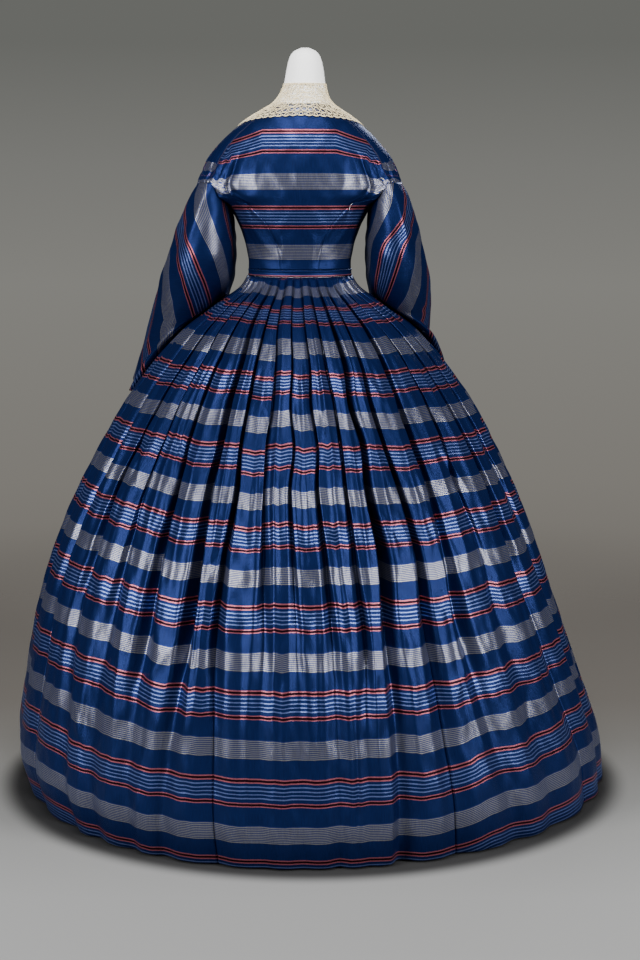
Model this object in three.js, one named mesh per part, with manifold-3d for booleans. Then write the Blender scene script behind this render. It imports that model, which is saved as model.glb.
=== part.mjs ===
// Afternoon dress of about 1857-60 on a limbless dress form.
// Millimetres, +Z up. The wearer's back faces -Y and the wearer's right is +X.
// The origin is the centre of the stand base's underside.
import * as THREE from 'three';
import Module from 'manifold-3d';
import { mergeVertices } from 'three/addons/utils/BufferGeometryUtils.js';

// ---- Driving dimensions -------------------------------------------------------------------

const CLOTH = 1.5; // wall of the silk
const LACE = 1.4; // wall of the lace
const SEAM_GAP = 0.3; // between two pieces at a seam
const ARMHOLE_TOP = 1237; // height of the dropped shoulder point
const WAISTBAND_TOP = 1064;
const WAISTBAND_BOTTOM = 1050.5;
const WAISTBAND_STANDOFF = 1; // outside the bodice's surface
const NECKLINE = 1392;
const FORM_BOTTOM = 862;
const BASE_RADIUS = 170;
const BASE_THICKNESS = 10;
const BASE_RIM = 2; // chamfer round the base's upper edge
const POLE_RADIUS = 14;
const SOCKET_RADIUS = 24; // the socket on the base that holds the pole
const SOCKET_TOP = 34;
const SOCKET_FILLET = 6;

// Horizontal sections of the body, from the neck down: half width, depth behind and before the
// axis, how far the limbless form lies inside, and how far the neck leans to the right.
const BODY = table(['height', 'half', 'back', 'front', 'inset', 'lean'], [
  [1503, 8, 8, 8, 0, 11],
  [1497, 22, 22, 22, 0, 11],
  [1485, 31, 31, 31, 0, 11],
  [1462, 37, 36, 36, 0, 11],
  [1430, 42, 41, 41, 0, 10],
  [1410, 48, 47, 44, 1.5, 8],
  [1392, 62, 60, 50, 2.3, 6],
  [1378, 84, 68, 56, 2.3, 4],
  [1364, 106, 74, 65, 2.4, 3],
  [1350, 125, 81, 76, 2.6, 2],
  [1330, 148, 90, 90, 3, 1],
  [1306, 171, 99, 106, 5, 0],
  [1282, 188, 106, 120, 8, 0],
  [1258, 199, 111, 130, 12, 0],
  [1234, 207, 114, 136, 16, 0],
  [1212, 196, 115, 139, 14, 0],
  [1192, 150, 114, 139, 5, 0],
  [1160, 128, 109, 135, 2.6, 0],
  [1130, 116, 103, 125, 2.4, 0],
  [1100, 108, 97, 111, 2.3, 0],
  [1078, 104.5, 94, 103, 2.3, 0],
  [1050, 104, 94, 101, 2.3, 0],
]);

// The form from the waist down: hips, closed by a flat bottom.
const HIPS = table(['height', 'half', 'back', 'front'], [
  [1052, 94, 86, 90],
  [1030, 99, 92, 92],
  [1000, 116, 105, 100],
  [950, 138, 124, 112],
  [895, 150, 136, 118],
  [FORM_BOTTOM, 146, 132, 115],
]);

// Angle of the side-back seams from the centre back, which curve out into the armholes.
const SIDE_BACK_SEAM = table(['height', 'angle'], [
  [NECKLINE, 80],
  [1234, 80],
  [1212, 62],
  [1192, 44],
  [1160, 32],
  [1130, 26],
  [1100, 22],
  [WAISTBAND_TOP, 20],
]);

// Shoulder seam above the armhole and side seam below it.
const SIDE_SEAM = table(['height', 'angle'], [
  [NECKLINE, 80],
  [1234, 80],
  [1212, 90],
  [WAISTBAND_TOP, 90],
]);

// Horizontal sections of each sleeve: outer and inner edge from the centre line, edges behind
// and before it, and how much higher the front of the section lies than its back.
const SLEEVE_COLUMNS = ['height', 'outer', 'inner', 'back', 'front', 'rise'];
const SLEEVE_LEFT = table(SLEEVE_COLUMNS, [
  [ARMHOLE_TOP, 206, 150, -64, 64, 0],
  [1212, 222, 143, -75, 74, 0],
  [1145, 251, 132, -88, 96, 0],
  [1101, 264, 131, -86, 112, 2],
  [1056, 282, 134, -72, 130, 5],
  [1010, 298, 148, -42, 150, 8],
  [962, 315, 166, -6, 172, 12],
  [915, 330, 186, 28, 194, 16],
  [868, 346, 206, 56, 218, 22],
  [826, 362, 222, 78, 240, 26],
]);
const SLEEVE_RIGHT = table(SLEEVE_COLUMNS, [
  [ARMHOLE_TOP, 206, 150, -64, 64, 0],
  [1212, 221, 143, -78, 80, 0],
  [1145, 242, 136, -92, 104, 0],
  [1101, 251, 134, -90, 118, 2],
  [1056, 263, 135, -76, 138, 5],
  [1010, 271, 144, -46, 164, 8],
  [962, 274, 152, 0, 196, 12],
  [915, 274, 160, 52, 236, 16],
  [868, 276, 166, 100, 274, 22],
  [826, 280, 172, 136, 308, 26],
]);

// Horizontal sections of the skirt over the ridges of its folds.
const SKIRT = table(['height', 'right', 'left', 'back', 'front'], [
  [1050, 107, 107, 106, 104],
  [1030, 120, 119, 142, 118],
  [990, 176, 175, 214, 158],
  [948, 231, 230, 276, 200],
  [885, 289, 291, 343, 257],
  [800, 347, 355, 412, 316],
  [700, 402, 415, 465, 372],
  [553, 470, 488, 520, 430],
  [401, 526, 541, 561, 474],
  [247, 579, 573, 590, 506],
  [90, 632, 594, 598, 528],
  [6, 640, 574, 582, 522],
]);

// Folds of the skirt. Each row is one valley: its angle from the centre back at four heights,
// and its depth at the last three. A valley with a name is a seam between two breadths.
const WAIST_HEIGHT = 1050;
const HIP_HEIGHT = 890;
const KNEE_HEIGHT = 550;
const HEM_HEIGHT = 6;
const WAIST_FOLD = 8;
const FOLD_COLUMNS = ['waist', 'hip', 'knee', 'hem', 'hipDepth', 'kneeDepth', 'hemDepth', 'seam'];
const FOLDS = table(FOLD_COLUMNS, [
  [-96, -94, -93, -93, 14, 10, 8, null],
  [-86, -81, -79, -79, 14, 10, 8, null],
  [-72, -64, -65, -65, 16, 15, 9, 'skirt_back_left'],
  [-61, -51, -53, -50, 14, 12, 10, null],
  [-51, -42, -42, -42, 12, 10, 9, null],
  [-41, -33, -32, -33, 14, 14, 8, null],
  [-31, -23, -22, -26, 24, 24, 9, null],
  [-22, -16, -16, -15, 15, 12, 8, 'skirt_centre_back'],
  [-14, -9, -7, -6, 12, 6, 3, null],
  [-6, -3, -1, 1, 10, 6, 3, null],
  [2, 4, 6, 7, 12, 12, 8, null],
  [10, 11, 13, 12, 14, 10, 3, null],
  [19, 18, 19, 17.5, 26, 30, 20, null],
  [28, 25, 28, 28, 16, 14, 10, 'skirt_back_right'],
  [38, 36, 36, 41, 16, 14, 10, null],
  [48, 47, 48, 51, 14, 10, 8, null],
  [60, 58, 61, 66, 16, 15, 10, 'skirt_side_right'],
  [73, 71, 74, 77, 14, 10, 8, null],
  [85, 84, 87, 88, 18, 16, 9, null],
  [96, 96, 97, 98, 12, 10, 6, null],
  [106, 107, 107, 106, 14, 12, 9, 'skirt_front_right'],
  [117, 117, 118, 117, 12, 14, 8, null],
  [128, 129, 128, 128, 15, 9, 5, null],
  [139, 139, 140, 138, 11, 12, 8, null],
  [150, 150, 150, 150, 13, 11, 8, 'skirt_centre_front'],
  [162, 161, 160, 159, 12, 10, 6, null],
  [174, 173, 172, 171, 9, 8, 6, null],
  [186, 186, 187, 188, 10, 8, 5, null],
  [198, 198, 199, 201, 12, 11, 7, null],
  [210, 210, 211, 211, 13, 12, 8, 'skirt_front_left'],
  [221, 221, 222, 222, 11, 9, 8, null],
  [232, 232, 232, 233, 16, 14, 7, null],
  [243, 244, 243, 244, 12, 9, 5, null],
  [254, 255, 255, 255, 13, 12, 8, 'skirt_side_left'],
]);
const FOLD_STEPS = [0, 0.2, 0.5, 0.8]; // columns of a fold, from valley to valley

// The lace collar runs down from the neck to a scalloped edge that dips over the shoulders.
const COLLAR_TOP = 1432;
const COLLAR_EDGE = table(['angle', 'height'], [
  [0, 1370],
  [40, 1366],
  [90, 1353],
  [135, 1340],
  [170, 1322],
]);
const COLLAR_STANDOFF = 1.1;
const COLLAR_CELLS = 30;
const COLLAR_ROWS = 3;
const COLLAR_OPENING = 10; // degrees left open each side of the centre front
const LACE_HOLE = 0.33; // half the hole's share of its cell
const SCALLOP = 6;

// ---- Tables and interpolation ----------------------------------------------------------------

function table(columns, rows) {
  return rows.map((row) => Object.fromEntries(columns.map((name, i) => [name, row[i]])));
}

// Smooth value of a column at a place along the table's key column.
function along(rows, key, column, place) {
  const rising = rows[0][key] < rows[rows.length - 1][key];
  const sorted = rising ? rows : [...rows].reverse();
  const at = sorted.map((row) => row[key]);
  const value = sorted.map((row) => row[column]);
  const last = at.length - 1;
  if (place <= at[0]) return value[0];
  if (place >= at[last]) return value[last];
  const slope = (i) => (value[i + 1] - value[i]) / (at[i + 1] - at[i]);
  const tangent = (i) => {
    if (i === 0) return slope(0);
    if (i === last) return slope(last - 1);
    const product = slope(i - 1) * slope(i);
    return product <= 0 ? 0 : (2 * product) / (slope(i - 1) + slope(i));
  };
  const i = at.findIndex((next) => next > place) - 1;
  const span = at[i + 1] - at[i];
  const t = (place - at[i]) / span;
  const start = (1 + 2 * t) * (1 - t) ** 2 * value[i] + t * (1 - t) ** 2 * span * tangent(i);
  const end = t * t * (3 - 2 * t) * value[i + 1] + t * t * (t - 1) * span * tangent(i + 1);
  return start + end;
}

function radians(degrees) {
  return THREE.MathUtils.degToRad(degrees);
}

// ---- Closed solids from grids of points -----------------------------------------------------

// A surface is a function of a place across it and a height. This is its normal, facing out.
const NORMAL_STEP = 0.4;

function normalAt(surface, place, height) {
  const down = surface(place, height - NORMAL_STEP).sub(surface(place, height + NORMAL_STEP));
  const step = NORMAL_STEP * placePerMillimetre(surface, place, height);
  const across = surface(place + step, height).sub(surface(place - step, height));
  return down.cross(across).normalize();
}

function placePerMillimetre(surface, place, height) {
  const small = 0.01;
  return (2 * small) / surface(place + small, height).distanceTo(surface(place - small, height));
}

function movedOut(surface, place, height, distance) {
  return surface(place, height).addScaledVector(normalAt(surface, place, height), distance);
}

// A piece of cloth on a surface: its places across are a function of the height, and each side
// edge keeps half a seam's gap to its neighbour.
function clothPiece(surface, heights, placesAt) {
  const places = heights.map((height) => {
    const row = placesAt(height);
    const last = row.length - 1;
    row[0] += 0.5 * SEAM_GAP * placePerMillimetre(surface, row[0], height);
    row[last] -= 0.5 * SEAM_GAP * placePerMillimetre(surface, row[last], height);
    return row;
  });
  const layer = (distance) => heights.map((height, i) => (
    places[i].map((place) => movedOut(surface, place, height, distance))));
  return wall(layer(0), layer(-CLOTH));
}

// A grid is a list of rows of points. Its outer side is seen with rows going down and columns
// going from left to right.
function solidMesh(points, faces) {
  const geometry = new THREE.BufferGeometry();
  const numbers = points.flatMap((point) => point.toArray());
  geometry.setAttribute('position', new THREE.Float32BufferAttribute(numbers, 3));
  geometry.setIndex(faces.flat());
  return geometry;
}

// A wall between an outer and an inner grid, closed round its four edges.
function wall(outer, inner) {
  const rows = outer.length;
  const columns = outer[0].length;
  const points = [...outer.flat(), ...inner.flat()];
  const offset = rows * columns;
  const out = (i, j) => i * columns + j;
  const faces = [];
  const quad = (a, b, c, d) => faces.push([a, b, c], [a, c, d]);
  for (let i = 0; i < rows - 1; i += 1) {
    for (let j = 0; j < columns - 1; j += 1) {
      const [a, b, c, d] = [out(i, j), out(i + 1, j), out(i + 1, j + 1), out(i, j + 1)];
      quad(a, b, c, d);
      quad(offset + a, offset + d, offset + c, offset + b);
    }
    const right = columns - 1;
    quad(out(i + 1, 0), out(i, 0), offset + out(i, 0), offset + out(i + 1, 0));
    quad(out(i, right), out(i + 1, right), offset + out(i + 1, right), offset + out(i, right));
  }
  for (let j = 0; j < columns - 1; j += 1) {
    const bottom = rows - 1;
    quad(out(0, j), out(0, j + 1), offset + out(0, j + 1), offset + out(0, j));
    quad(out(bottom, j + 1), out(bottom, j), offset + out(bottom, j), offset + out(bottom, j + 1));
  }
  return solidMesh(points, faces);
}

// A tube between an outer and an inner grid whose last column meets the first.
function tube(outer, inner) {
  const rows = outer.length;
  const columns = outer[0].length;
  const points = [...outer.flat(), ...inner.flat()];
  const offset = rows * columns;
  const out = (i, j) => i * columns + (j % columns);
  const faces = [];
  const quad = (a, b, c, d) => faces.push([a, b, c], [a, c, d]);
  for (let j = 0; j < columns; j += 1) {
    for (let i = 0; i < rows - 1; i += 1) {
      const [a, b, c, d] = [out(i, j), out(i + 1, j), out(i + 1, j + 1), out(i, j + 1)];
      quad(a, b, c, d);
      quad(offset + a, offset + d, offset + c, offset + b);
    }
    const bottom = rows - 1;
    quad(out(0, j), out(0, j + 1), offset + out(0, j + 1), offset + out(0, j));
    quad(out(bottom, j + 1), out(bottom, j), offset + out(bottom, j), offset + out(bottom, j + 1));
  }
  return solidMesh(points, faces);
}

// A filled body of closed rings, from the top down.
function filled(rings) {
  const columns = rings[0].length;
  const middle = (ring) => ring.reduce((sum, p) => sum.add(p), new THREE.Vector3()).divideScalar(columns);
  const last = rings.length - 1;
  const points = [...rings.flat(), middle(rings[0]), middle(rings[last])];
  const top = rings.length * columns;
  const bottom = top + 1;
  const at = (i, j) => i * columns + (j % columns);
  const faces = [];
  for (let j = 0; j < columns; j += 1) {
    for (let i = 0; i < last; i += 1) {
      faces.push([at(i, j), at(i + 1, j), at(i + 1, j + 1)], [at(i, j), at(i + 1, j + 1), at(i, j + 1)]);
    }
    faces.push([top, at(0, j), at(0, j + 1)], [bottom, at(last, j + 1), at(last, j)]);
  }
  return solidMesh(points, faces);
}

// ---- Joining and cutting ----------------------------------------------------------------------

const manifold = await Module();
manifold.setup();

function toSolid(geometry) {
  const shared = mergeVertices(geometry, 0.001);
  const mesh = new manifold.Mesh({
    numProp: 3,
    vertProperties: new Float32Array(shared.attributes.position.array),
    triVerts: new Uint32Array(shared.index.array),
  });
  return new manifold.Manifold(mesh);
}

function toGeometry(solid) {
  const mesh = solid.getMesh();
  const geometry = new THREE.BufferGeometry();
  geometry.setAttribute('position', new THREE.Float32BufferAttribute(mesh.vertProperties, 3));
  geometry.setIndex(Array.from(mesh.triVerts));
  return geometry;
}

// ---- Body, bodice and form ------------------------------------------------------------------

const ROUND_STEPS = 32;
const FORM_STEPS = 28;

function steps(from, to, count) {
  return Array.from({ length: count + 1 }, (_, i) => from + ((to - from) * i) / count);
}

// A point of the body's surface at an angle from the centre back.
function bodyPoint(angle, height) {
  return ringPoint(angle, height, 0);
}

function ringPoint(angle, height, out) {
  const turn = radians(angle);
  const half = along(BODY, 'height', 'half', height) + out;
  const depth = along(BODY, 'height', Math.cos(turn) > 0 ? 'back' : 'front', height) + out;
  const lean = along(BODY, 'height', 'lean', height);
  return new THREE.Vector3(lean + half * Math.sin(turn), -depth * Math.cos(turn), height);
}

function bodyRing(height, out) {
  const angles = steps(-180, 180, ROUND_STEPS).slice(0, ROUND_STEPS);
  return angles.map((angle) => ringPoint(angle, height, out));
}

const BODICE_HEIGHTS = BODY.map((row) => row.height)
  .filter((height) => height <= NECKLINE && height > WAISTBAND_TOP)
  .concat(WAISTBAND_TOP + SEAM_GAP);

// A piece of the bodice between two seams, given as functions of the height.
function bodicePiece(heights, fromSeam, toSeam, columns) {
  return clothPiece(bodyPoint, heights, (height) => steps(fromSeam(height), toSeam(height), columns));
}

const sideBackSeam = (height) => along(SIDE_BACK_SEAM, 'height', 'angle', height);
const sideSeam = (height) => along(SIDE_SEAM, 'height', 'angle', height);
const UNDERARM = 1212;
const COLUMNS = { centreBack: 14, sideBack: 5, front: 8 }; // of the bodice's pieces

function bodiceGeometries() {
  const whole = BODICE_HEIGHTS;
  const belowArm = whole.filter((height) => height <= UNDERARM);
  const leftSideBackSeam = (height) => -sideBackSeam(height);
  const leftSideSeam = (height) => -sideSeam(height);
  return {
    bodice_centre_back: bodicePiece(whole, leftSideBackSeam, sideBackSeam, COLUMNS.centreBack),
    bodice_side_back_right: bodicePiece(belowArm, sideBackSeam, sideSeam, COLUMNS.sideBack),
    bodice_side_back_left: bodicePiece(belowArm, leftSideSeam, leftSideBackSeam, COLUMNS.sideBack),
    bodice_front_right: bodicePiece(whole, sideSeam, () => 180, COLUMNS.front),
    bodice_front_left: bodicePiece(whole, () => -180, leftSideSeam, COLUMNS.front),
  };
}

function bodiceFilled(out) {
  return toSolid(filled(BODICE_HEIGHTS.map((height) => bodyRing(height, out))));
}

// The form lies inside the bodice by its own inset, and narrows into the waist above its hips.
function formGeometry() {
  const angles = steps(-180, 180, FORM_STEPS).slice(0, FORM_STEPS);
  const worn = BODY.filter((row) => row.height > WAISTBAND_TOP);
  const upper = worn.map((row) => angles.map((angle) => movedOut(bodyPoint, angle, row.height, -row.inset)));
  const lower = HIPS.map((row) => angles.map((angle) => {
    const turn = radians(angle);
    const depth = Math.cos(turn) > 0 ? row.back : row.front;
    return new THREE.Vector3(row.half * Math.sin(turn), -depth * Math.cos(turn), row.height);
  }));
  return filled([...upper, ...lower]);
}

function waistbandGeometry() {
  const heights = [WAISTBAND_TOP, WAISTBAND_BOTTOM];
  const outer = heights.map((height) => bodyRing(height, WAISTBAND_STANDOFF));
  const inner = heights.map((height) => bodyRing(height, WAISTBAND_STANDOFF - CLOTH));
  return tube(outer, inner);
}

// ---- Skirt ----------------------------------------------------------------------------------

function skirtRidge(angle, height) {
  const turn = radians(angle);
  const side = Math.sin(turn) > 0 ? 'right' : 'left';
  const end = Math.cos(turn) > 0 ? 'back' : 'front';
  const half = along(SKIRT, 'height', side, height);
  const depth = along(SKIRT, 'height', end, height);
  return new THREE.Vector3(half * Math.sin(turn), -depth * Math.cos(turn), height);
}

function foldAt(fold, height) {
  const levels = [
    { height: WAIST_HEIGHT, angle: fold.waist, depth: WAIST_FOLD },
    { height: HIP_HEIGHT, angle: fold.hip, depth: fold.hipDepth },
    { height: KNEE_HEIGHT, angle: fold.knee, depth: fold.kneeDepth },
    { height: HEM_HEIGHT, angle: fold.hem, depth: fold.hemDepth },
  ];
  return {
    angle: along(levels, 'height', 'angle', height),
    depth: along(levels, 'height', 'depth', height),
  };
}

// How much of a valley's depth is left at a share of the way to the next ridge.
function valleyShare(t) {
  const s = Math.min(1, 2 * t);
  return 1 - s * s * (3 - 2 * s);
}

// A point of the skirt. Its place is a fold's number and the share of the way to the next fold.
function skirtPoint(place, height) {
  const count = FOLDS.length;
  const index = Math.floor(place);
  const step = place - index;
  const fold = (number) => {
    const { angle, depth } = foldAt(FOLDS[(number + count) % count], height);
    return { angle: angle + 360 * Math.floor(number / count), depth };
  };
  const here = fold(index);
  const next = fold(index + 1);
  const angle = here.angle + (next.angle - here.angle) * step;
  const depth = here.depth * valleyShare(step) + next.depth * valleyShare(1 - step);
  const ridge = skirtRidge(angle, height);
  const radius = Math.hypot(ridge.x, ridge.y);
  return ridge.multiply(new THREE.Vector3(1 - depth / radius, 1 - depth / radius, 1));
}

// One breadth of the skirt, from one seam valley to the next.
function skirtBreadth(first, folds) {
  const top = WAISTBAND_BOTTOM - SEAM_GAP;
  const heights = SKIRT.map((row) => Math.min(row.height, top));
  const numbers = Array.from({ length: folds }, (_, i) => first + i);
  const places = numbers.flatMap((number) => FOLD_STEPS.map((step) => number + step));
  return clothPiece(skirtPoint, heights, () => [...places, first + folds]);
}

function skirtGeometries() {
  const seams = FOLDS.map((fold, index) => ({ name: fold.seam, index })).filter((seam) => seam.name);
  const pieces = {};
  seams.forEach((seam, i) => {
    const next = seams[(i + 1) % seams.length].index + (i + 1 === seams.length ? FOLDS.length : 0);
    pieces[seam.name] = skirtBreadth(seam.index, next - seam.index);
  });
  return pieces;
}

// ---- Sleeves ----------------------------------------------------------------------------------

const SLEEVE_STEPS = 20;
const SLEEVE_REST = 7; // between a sleeve and the skirt's ridges
const SLEEVE_OPEN = 22; // how much further a sleeve's outer side stands off
const ARMHOLE_ROWS = 3; // of a sleeve's sections, those that the armhole is cut by

// A point moved straight out from the body's axis, so that it clears the skirt by a distance.
function clearOfSkirt(point, distance) {
  if (point.z > WAIST_HEIGHT) return point;
  const side = along(SKIRT, 'height', point.x > 0 ? 'right' : 'left', point.z) + distance;
  const end = along(SKIRT, 'height', point.y < 0 ? 'back' : 'front', point.z) + distance;
  const reach = Math.hypot(point.x / side, point.y / end);
  if (reach < 1) {
    point.x /= reach;
    point.y /= reach;
  }
  return point;
}

// One section of a sleeve. Both sleeves' points go round the same way, anticlockwise from above.
function sleeveRing(row, side, out) {
  const centre = (row.outer + row.inner) / 2;
  const half = (row.outer - row.inner) / 2 + out;
  const middle = (row.front + row.back) / 2;
  const depth = (row.front - row.back) / 2 + out;
  return steps(0, 360 * side, SLEEVE_STEPS).slice(0, SLEEVE_STEPS).map((angle) => {
    const turn = radians(angle);
    const outward = Math.sin(turn);
    const x = side * (centre + half * outward);
    const y = middle - depth * Math.cos(turn);
    const z = row.height - row.rise * Math.cos(turn);
    const opened = THREE.MathUtils.smoothstep(outward, -0.5, 0.6);
    return clearOfSkirt(new THREE.Vector3(x, y, z), SLEEVE_REST + SLEEVE_OPEN * opened);
  });
}

// The same section moved inwards by the cloth's thickness.
function innerRing(ring) {
  const count = ring.length;
  return ring.map((point, i) => {
    const tangent = ring[(i + 1) % count].clone().sub(ring[(i + count - 1) % count]);
    const inwards = new THREE.Vector3(-tangent.y, tangent.x, 0).normalize();
    return point.clone().addScaledVector(inwards, CLOTH);
  });
}

function sleeveGeometry(rows, side, body) {
  const outer = rows.map((row) => sleeveRing(row, side, 0));
  return toGeometry(toSolid(tube(outer, outer.map(innerRing))).subtract(body));
}

function sleeveFilled(rows, side) {
  const rings = rows.slice(0, ARMHOLE_ROWS).map((row) => sleeveRing(row, side, SEAM_GAP));
  return toSolid(filled(rings));
}

// ---- Lace collar ------------------------------------------------------------------------------

function collarPoint(share, down, out) {
  const angle = (180 - COLLAR_OPENING) * (2 * share - 1);
  const edge = along(COLLAR_EDGE, 'angle', 'height', Math.abs(angle));
  const height = COLLAR_TOP + (edge - COLLAR_TOP) * down;
  return movedOut(bodyPoint, angle, height, COLLAR_STANDOFF + out);
}

// Each cell of the lace has a hole with four corners, and the last row ends in a scallop.
function collarGeometry() {
  const points = [];
  const faces = [];
  const corner = new Map();
  const add = (share, down) => {
    points.push(collarPoint(share, down, LACE), collarPoint(share, down, 0));
    return points.length - 2;
  };
  const shared = (i, j) => {
    const key = `${i},${j}`;
    if (!corner.has(key)) corner.set(key, add(j / COLLAR_CELLS, i / COLLAR_ROWS));
    return corner.get(key);
  };
  const both = (a, b, c) => faces.push([a, b, c], [a + 1, c + 1, b + 1]);
  const edge = (a, b) => faces.push([b, b + 1, a + 1], [b, a + 1, a]);
  for (let i = 0; i < COLLAR_ROWS; i += 1) {
    for (let j = 0; j < COLLAR_CELLS; j += 1) {
      const [a, b, c, d] = [shared(i, j), shared(i + 1, j), shared(i + 1, j + 1), shared(i, j + 1)];
      const across = (j + 0.5) / COLLAR_CELLS;
      const down = (i + 0.5) / COLLAR_ROWS;
      const left = add(across - LACE_HOLE / COLLAR_CELLS, down);
      const low = add(across, down + LACE_HOLE / COLLAR_ROWS);
      const right = add(across + LACE_HOLE / COLLAR_CELLS, down);
      const high = add(across, down - LACE_HOLE / COLLAR_ROWS);
      both(a, left, high);
      both(b, low, left);
      both(c, right, low);
      both(d, high, right);
      both(a, b, left);
      both(c, d, right);
      both(d, a, high);
      edge(left, low);
      edge(low, right);
      edge(right, high);
      edge(high, left);
      if (i < COLLAR_ROWS - 1) {
        both(b, c, low);
      } else {
        const tip = add(across, 1 + SCALLOP / (COLLAR_TOP - COLLAR_EDGE[0].height));
        both(b, tip, low);
        both(tip, c, low);
        edge(tip, b);
        edge(c, tip);
      }
      if (i === 0) edge(a, d);
      if (j === 0) edge(b, a);
      if (j === COLLAR_CELLS - 1) edge(d, c);
    }
  }
  return solidMesh(points, faces);
}

// ---- Stand ------------------------------------------------------------------------------------

const BASE_STEPS = 36;
const POLE_STEPS = 20;

function baseGeometry() {
  const outline = [
    [0, 0],
    [BASE_RADIUS, 0],
    [BASE_RADIUS, BASE_THICKNESS - BASE_RIM],
    [BASE_RADIUS - BASE_RIM, BASE_THICKNESS],
    [SOCKET_RADIUS + SOCKET_FILLET, BASE_THICKNESS],
    [SOCKET_RADIUS, BASE_THICKNESS + SOCKET_FILLET],
    [SOCKET_RADIUS, SOCKET_TOP],
    [0, SOCKET_TOP],
  ];
  const profile = outline.map(([radius, height]) => new THREE.Vector2(radius, height));
  const lathe = new THREE.LatheGeometry(profile, BASE_STEPS);
  return lathe.rotateX(Math.PI / 2);
}

function poleGeometry() {
  const bottom = SOCKET_TOP + SEAM_GAP;
  const top = FORM_BOTTOM - SEAM_GAP;
  const pole = new THREE.CylinderGeometry(POLE_RADIUS, POLE_RADIUS, top - bottom, POLE_STEPS);
  return pole.rotateX(Math.PI / 2).translate(0, 0, (top + bottom) / 2);
}

// ---- Materials and the assembled dress --------------------------------------------------------

const MATERIALS = {
  silk: { color: 0x1b3a7a, roughness: 0.45, metalness: 0 },
  lace: { color: 0xe6dcc2, roughness: 0.9, metalness: 0 },
  form: { color: 0xf1f0ee, roughness: 0.7, metalness: 0 },
  steel: { color: 0x8c8f92, roughness: 0.4, metalness: 0.8 },
};

const dress = new THREE.Group();

function addPiece(name, geometry, material) {
  const mesh = new THREE.Mesh(geometry, new THREE.MeshStandardMaterial(MATERIALS[material]));
  mesh.name = name;
  dress.add(mesh);
}

const body = bodiceFilled(SEAM_GAP);
const armLeft = sleeveFilled(SLEEVE_LEFT, -1);
const armRight = sleeveFilled(SLEEVE_RIGHT, 1);

Object.entries(bodiceGeometries()).forEach(([name, geometry]) => {
  addPiece(name, toGeometry(toSolid(geometry).subtract(armLeft).subtract(armRight)), 'silk');
});
addPiece('sleeve_left', sleeveGeometry(SLEEVE_LEFT, -1, body), 'silk');
addPiece('sleeve_right', sleeveGeometry(SLEEVE_RIGHT, 1, body), 'silk');
addPiece('waistband', waistbandGeometry(), 'silk');
Object.entries(skirtGeometries()).forEach(([name, geometry]) => addPiece(name, geometry, 'silk'));
addPiece('lace_collar', collarGeometry(), 'lace');
addPiece('form_torso', formGeometry(), 'form');
addPiece('stand_pole', poleGeometry(), 'steel');
addPiece('stand_base', baseGeometry(), 'steel');

export default dress;
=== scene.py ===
"""Looks of an afternoon dress of about 1857-60 on a limbless dress form.

Sizes in the tables are millimetres, and a mesh is made in metres. Heights are above the floor.
Angles are degrees from the centre back, positive towards the wearer's right, which is +X.
Every piece of cloth is a thin shell on the form of its CAD node, with its own weave map.
"""

import math

import bpy
import numpy as np
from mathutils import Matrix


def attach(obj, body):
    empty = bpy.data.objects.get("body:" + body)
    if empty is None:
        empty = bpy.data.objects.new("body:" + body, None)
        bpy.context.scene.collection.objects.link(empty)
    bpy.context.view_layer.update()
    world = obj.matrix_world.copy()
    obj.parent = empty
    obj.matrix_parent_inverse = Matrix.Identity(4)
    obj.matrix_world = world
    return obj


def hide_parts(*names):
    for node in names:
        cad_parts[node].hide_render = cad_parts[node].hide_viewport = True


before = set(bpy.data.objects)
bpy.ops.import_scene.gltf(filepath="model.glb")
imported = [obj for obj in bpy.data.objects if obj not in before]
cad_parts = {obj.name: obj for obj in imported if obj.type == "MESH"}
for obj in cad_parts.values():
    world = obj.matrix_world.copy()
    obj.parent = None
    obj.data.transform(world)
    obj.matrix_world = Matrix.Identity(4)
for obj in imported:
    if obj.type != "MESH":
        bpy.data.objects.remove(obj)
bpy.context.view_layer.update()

METRE = 0.001  # millimetres to metres
SILK_WALL = 1.2
REPEAT = 157.0  # of the woven stripes

# ---- Tables ---------------------------------------------------------------------------------


class Table:
    """Rows of numbers under named columns; a column is read as a smooth curve along the key."""

    def __init__(self, columns, rows, key="height"):
        self.columns = columns
        self.rows = rows
        self.key = key

    def column(self, name):
        place = self.columns.index(name)
        return [row[place] for row in self.rows]

    def at(self, name, place):
        return smooth(self.column(self.key), self.column(name), place)


def smooth(places, values, place):
    """Value of a smooth curve through the points, which doesn't swing past them."""
    order = np.argsort(places)
    x = np.array(places, float)[order]
    y = np.array(values, float)[order]
    slope = np.diff(y) / np.diff(x)
    tangent = np.empty(len(x))
    tangent[0], tangent[-1] = slope[0], slope[-1]
    product = slope[:-1] * slope[1:]
    total = np.where(product > 0, slope[:-1] + slope[1:], 1)
    tangent[1:-1] = np.where(product > 0, 2 * product / total, 0)
    place = np.clip(place, x[0], x[-1])
    i = np.clip(np.searchsorted(x, place, side="right") - 1, 0, len(x) - 2)
    span = x[i + 1] - x[i]
    t = (place - x[i]) / span
    start = (1 + 2 * t) * (1 - t) ** 2 * y[i] + t * (1 - t) ** 2 * span * tangent[i]
    end = t * t * (3 - 2 * t) * y[i + 1] + t * t * (t - 1) * span * tangent[i + 1]
    return start + end


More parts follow.
